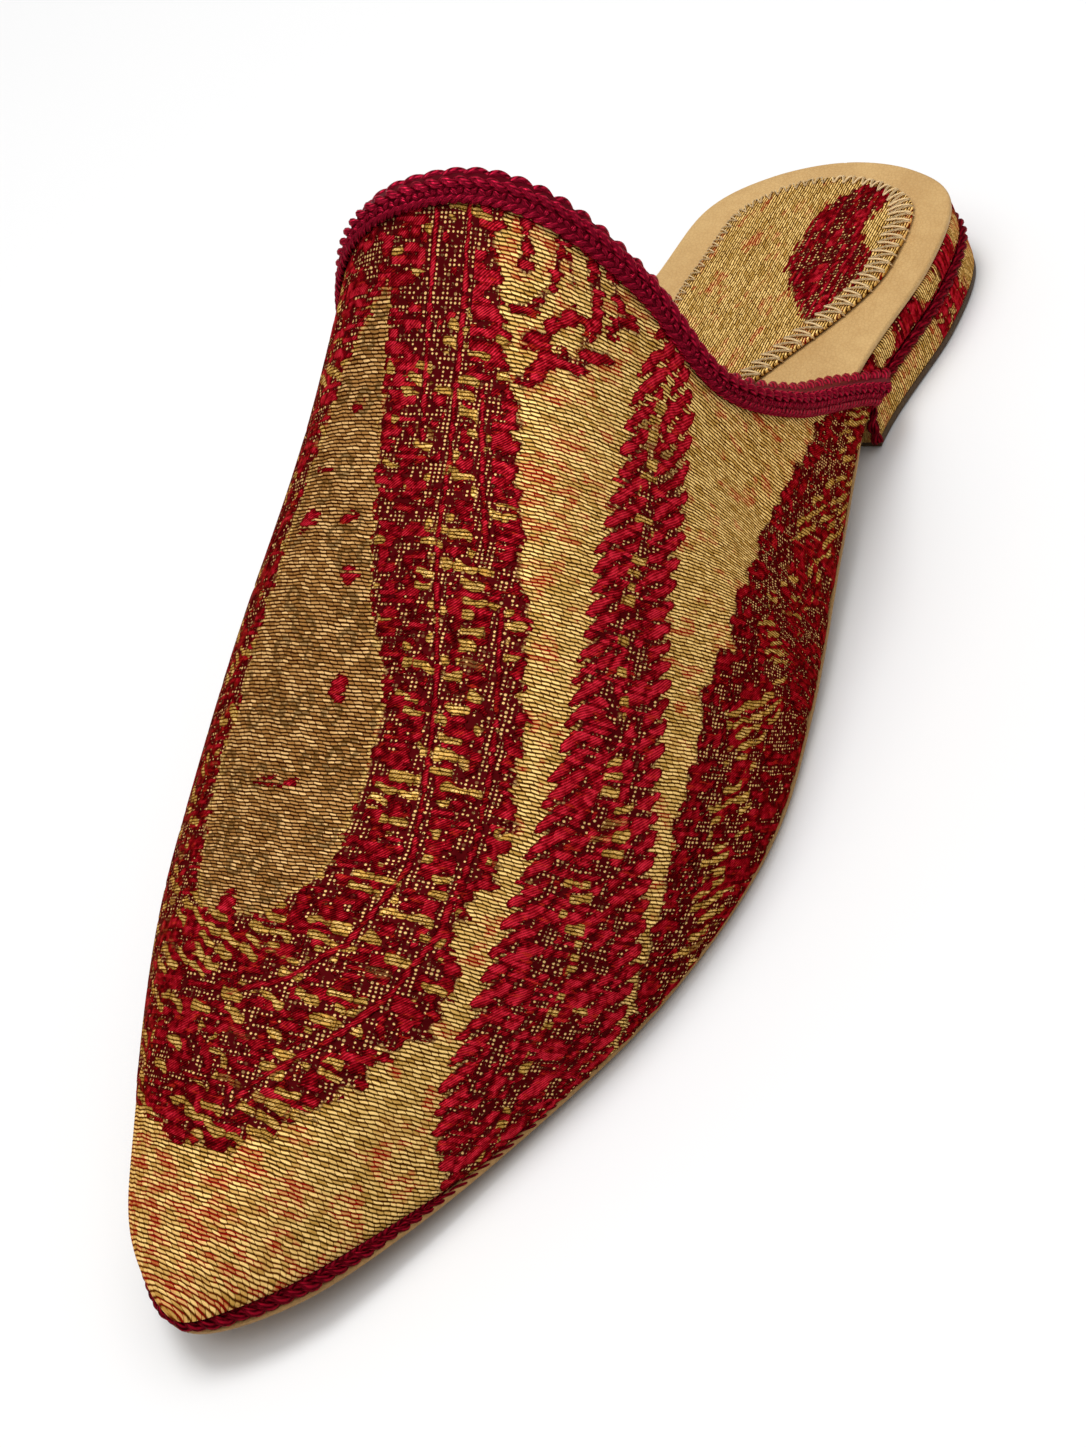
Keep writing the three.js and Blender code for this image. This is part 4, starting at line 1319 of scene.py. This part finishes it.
# Studio: pale floor, soft sky, and a wide and a smaller lamp from the upper left of the picture. Angles are
# in degrees and lengths in metres, focal and frameHeight in the photo's pixels and sensor in mm. A lamp has
# watts, size, lean to the picture's top, right and viewer, and distance
studio = dict(azimuth=45.75, elevation=38.41, roll=-28.91, distance=0.470, target=(0.01157, -0.02457, 0.025),
              focal=3032.4, frameHeight=1448.0, sensor=36.0, sky=0.46, floorTone=0.775, floorReach=20.0,
              floorLevel=-0.0002,
              lamps=dict(box=(17.8, 2.2, (0.76, -0.36, 0.9), 1.5), key=(7.0, 0.6, (0.94, -0.48, 0.65), 1.3)))


def makeStudio():
    az, el, roll = (math.radians(studio[k]) for k in ("azimuth", "elevation", "roll"))
    back = Vector((math.sin(az) * math.cos(el), -math.cos(az) * math.cos(el), math.sin(el)))
    flat = Vector((math.cos(az), math.sin(az), 0))
    rise = back.cross(flat)
    right = flat * math.cos(roll) + rise * math.sin(roll)
    top = rise * math.cos(roll) - flat * math.sin(roll)
    target = Vector(studio["target"])
    camera = bpy.data.cameras.new("camera")
    camera.sensor_width = studio["sensor"]
    camera.lens = studio["sensor"] * studio["focal"] / studio["frameHeight"]
    camera.clip_start, camera.clip_end = 0.01, 50.0
    holder = addToScene("camera", camera)
    turn = Matrix((right, top, back)).transposed().to_4x4()
    holder.matrix_world = Matrix.Translation(target + back * studio["distance"]) @ turn
    bpy.context.scene.camera = holder

    ground = bpy.data.meshes.new("floor")
    far, level = studio["floorReach"], studio["floorLevel"]
    corners = [(-far, -far, level), (far, -far, level), (far, far, level), (-far, far, level)]
    ground.from_pydata(corners, [], [(0, 1, 2, 3)])
    tone = studio["floorTone"]
    paint = {"Base Color": (tone, tone, tone, 1), "Roughness": 0.9, "Specular IOR Level": 0.1}
    ground.materials.append(newMaterial("paleFloor", **paint)[0])
    floor = addToScene("floor", ground)

    world = bpy.data.worlds.new("softSky")
    world.use_nodes = True
    sky = world.node_tree.nodes["Background"].inputs
    sky["Color"].default_value = (1, 1, 1, 1)
    sky["Strength"].default_value = studio["sky"]
    bpy.context.scene.world = world

    for name, (watts, size, lean, distance) in studio["lamps"].items():
        lamp = bpy.data.lights.new(name, "AREA")
        lamp.energy, lamp.shape, lamp.size = watts, "DISK", size
        holder = addToScene(name, lamp)
        toward = top * lean[0] + right * lean[1] + back * lean[2]
        toward.z = max(toward.z, 0.5)
        holder.location = target + toward.normalized() * distance
        holder.rotation_euler = (target - holder.location).to_track_quat("-Z", "Y").to_euler()
    bpy.context.scene.view_settings.view_transform = "Standard"


makeStudio()
print("studio ready")
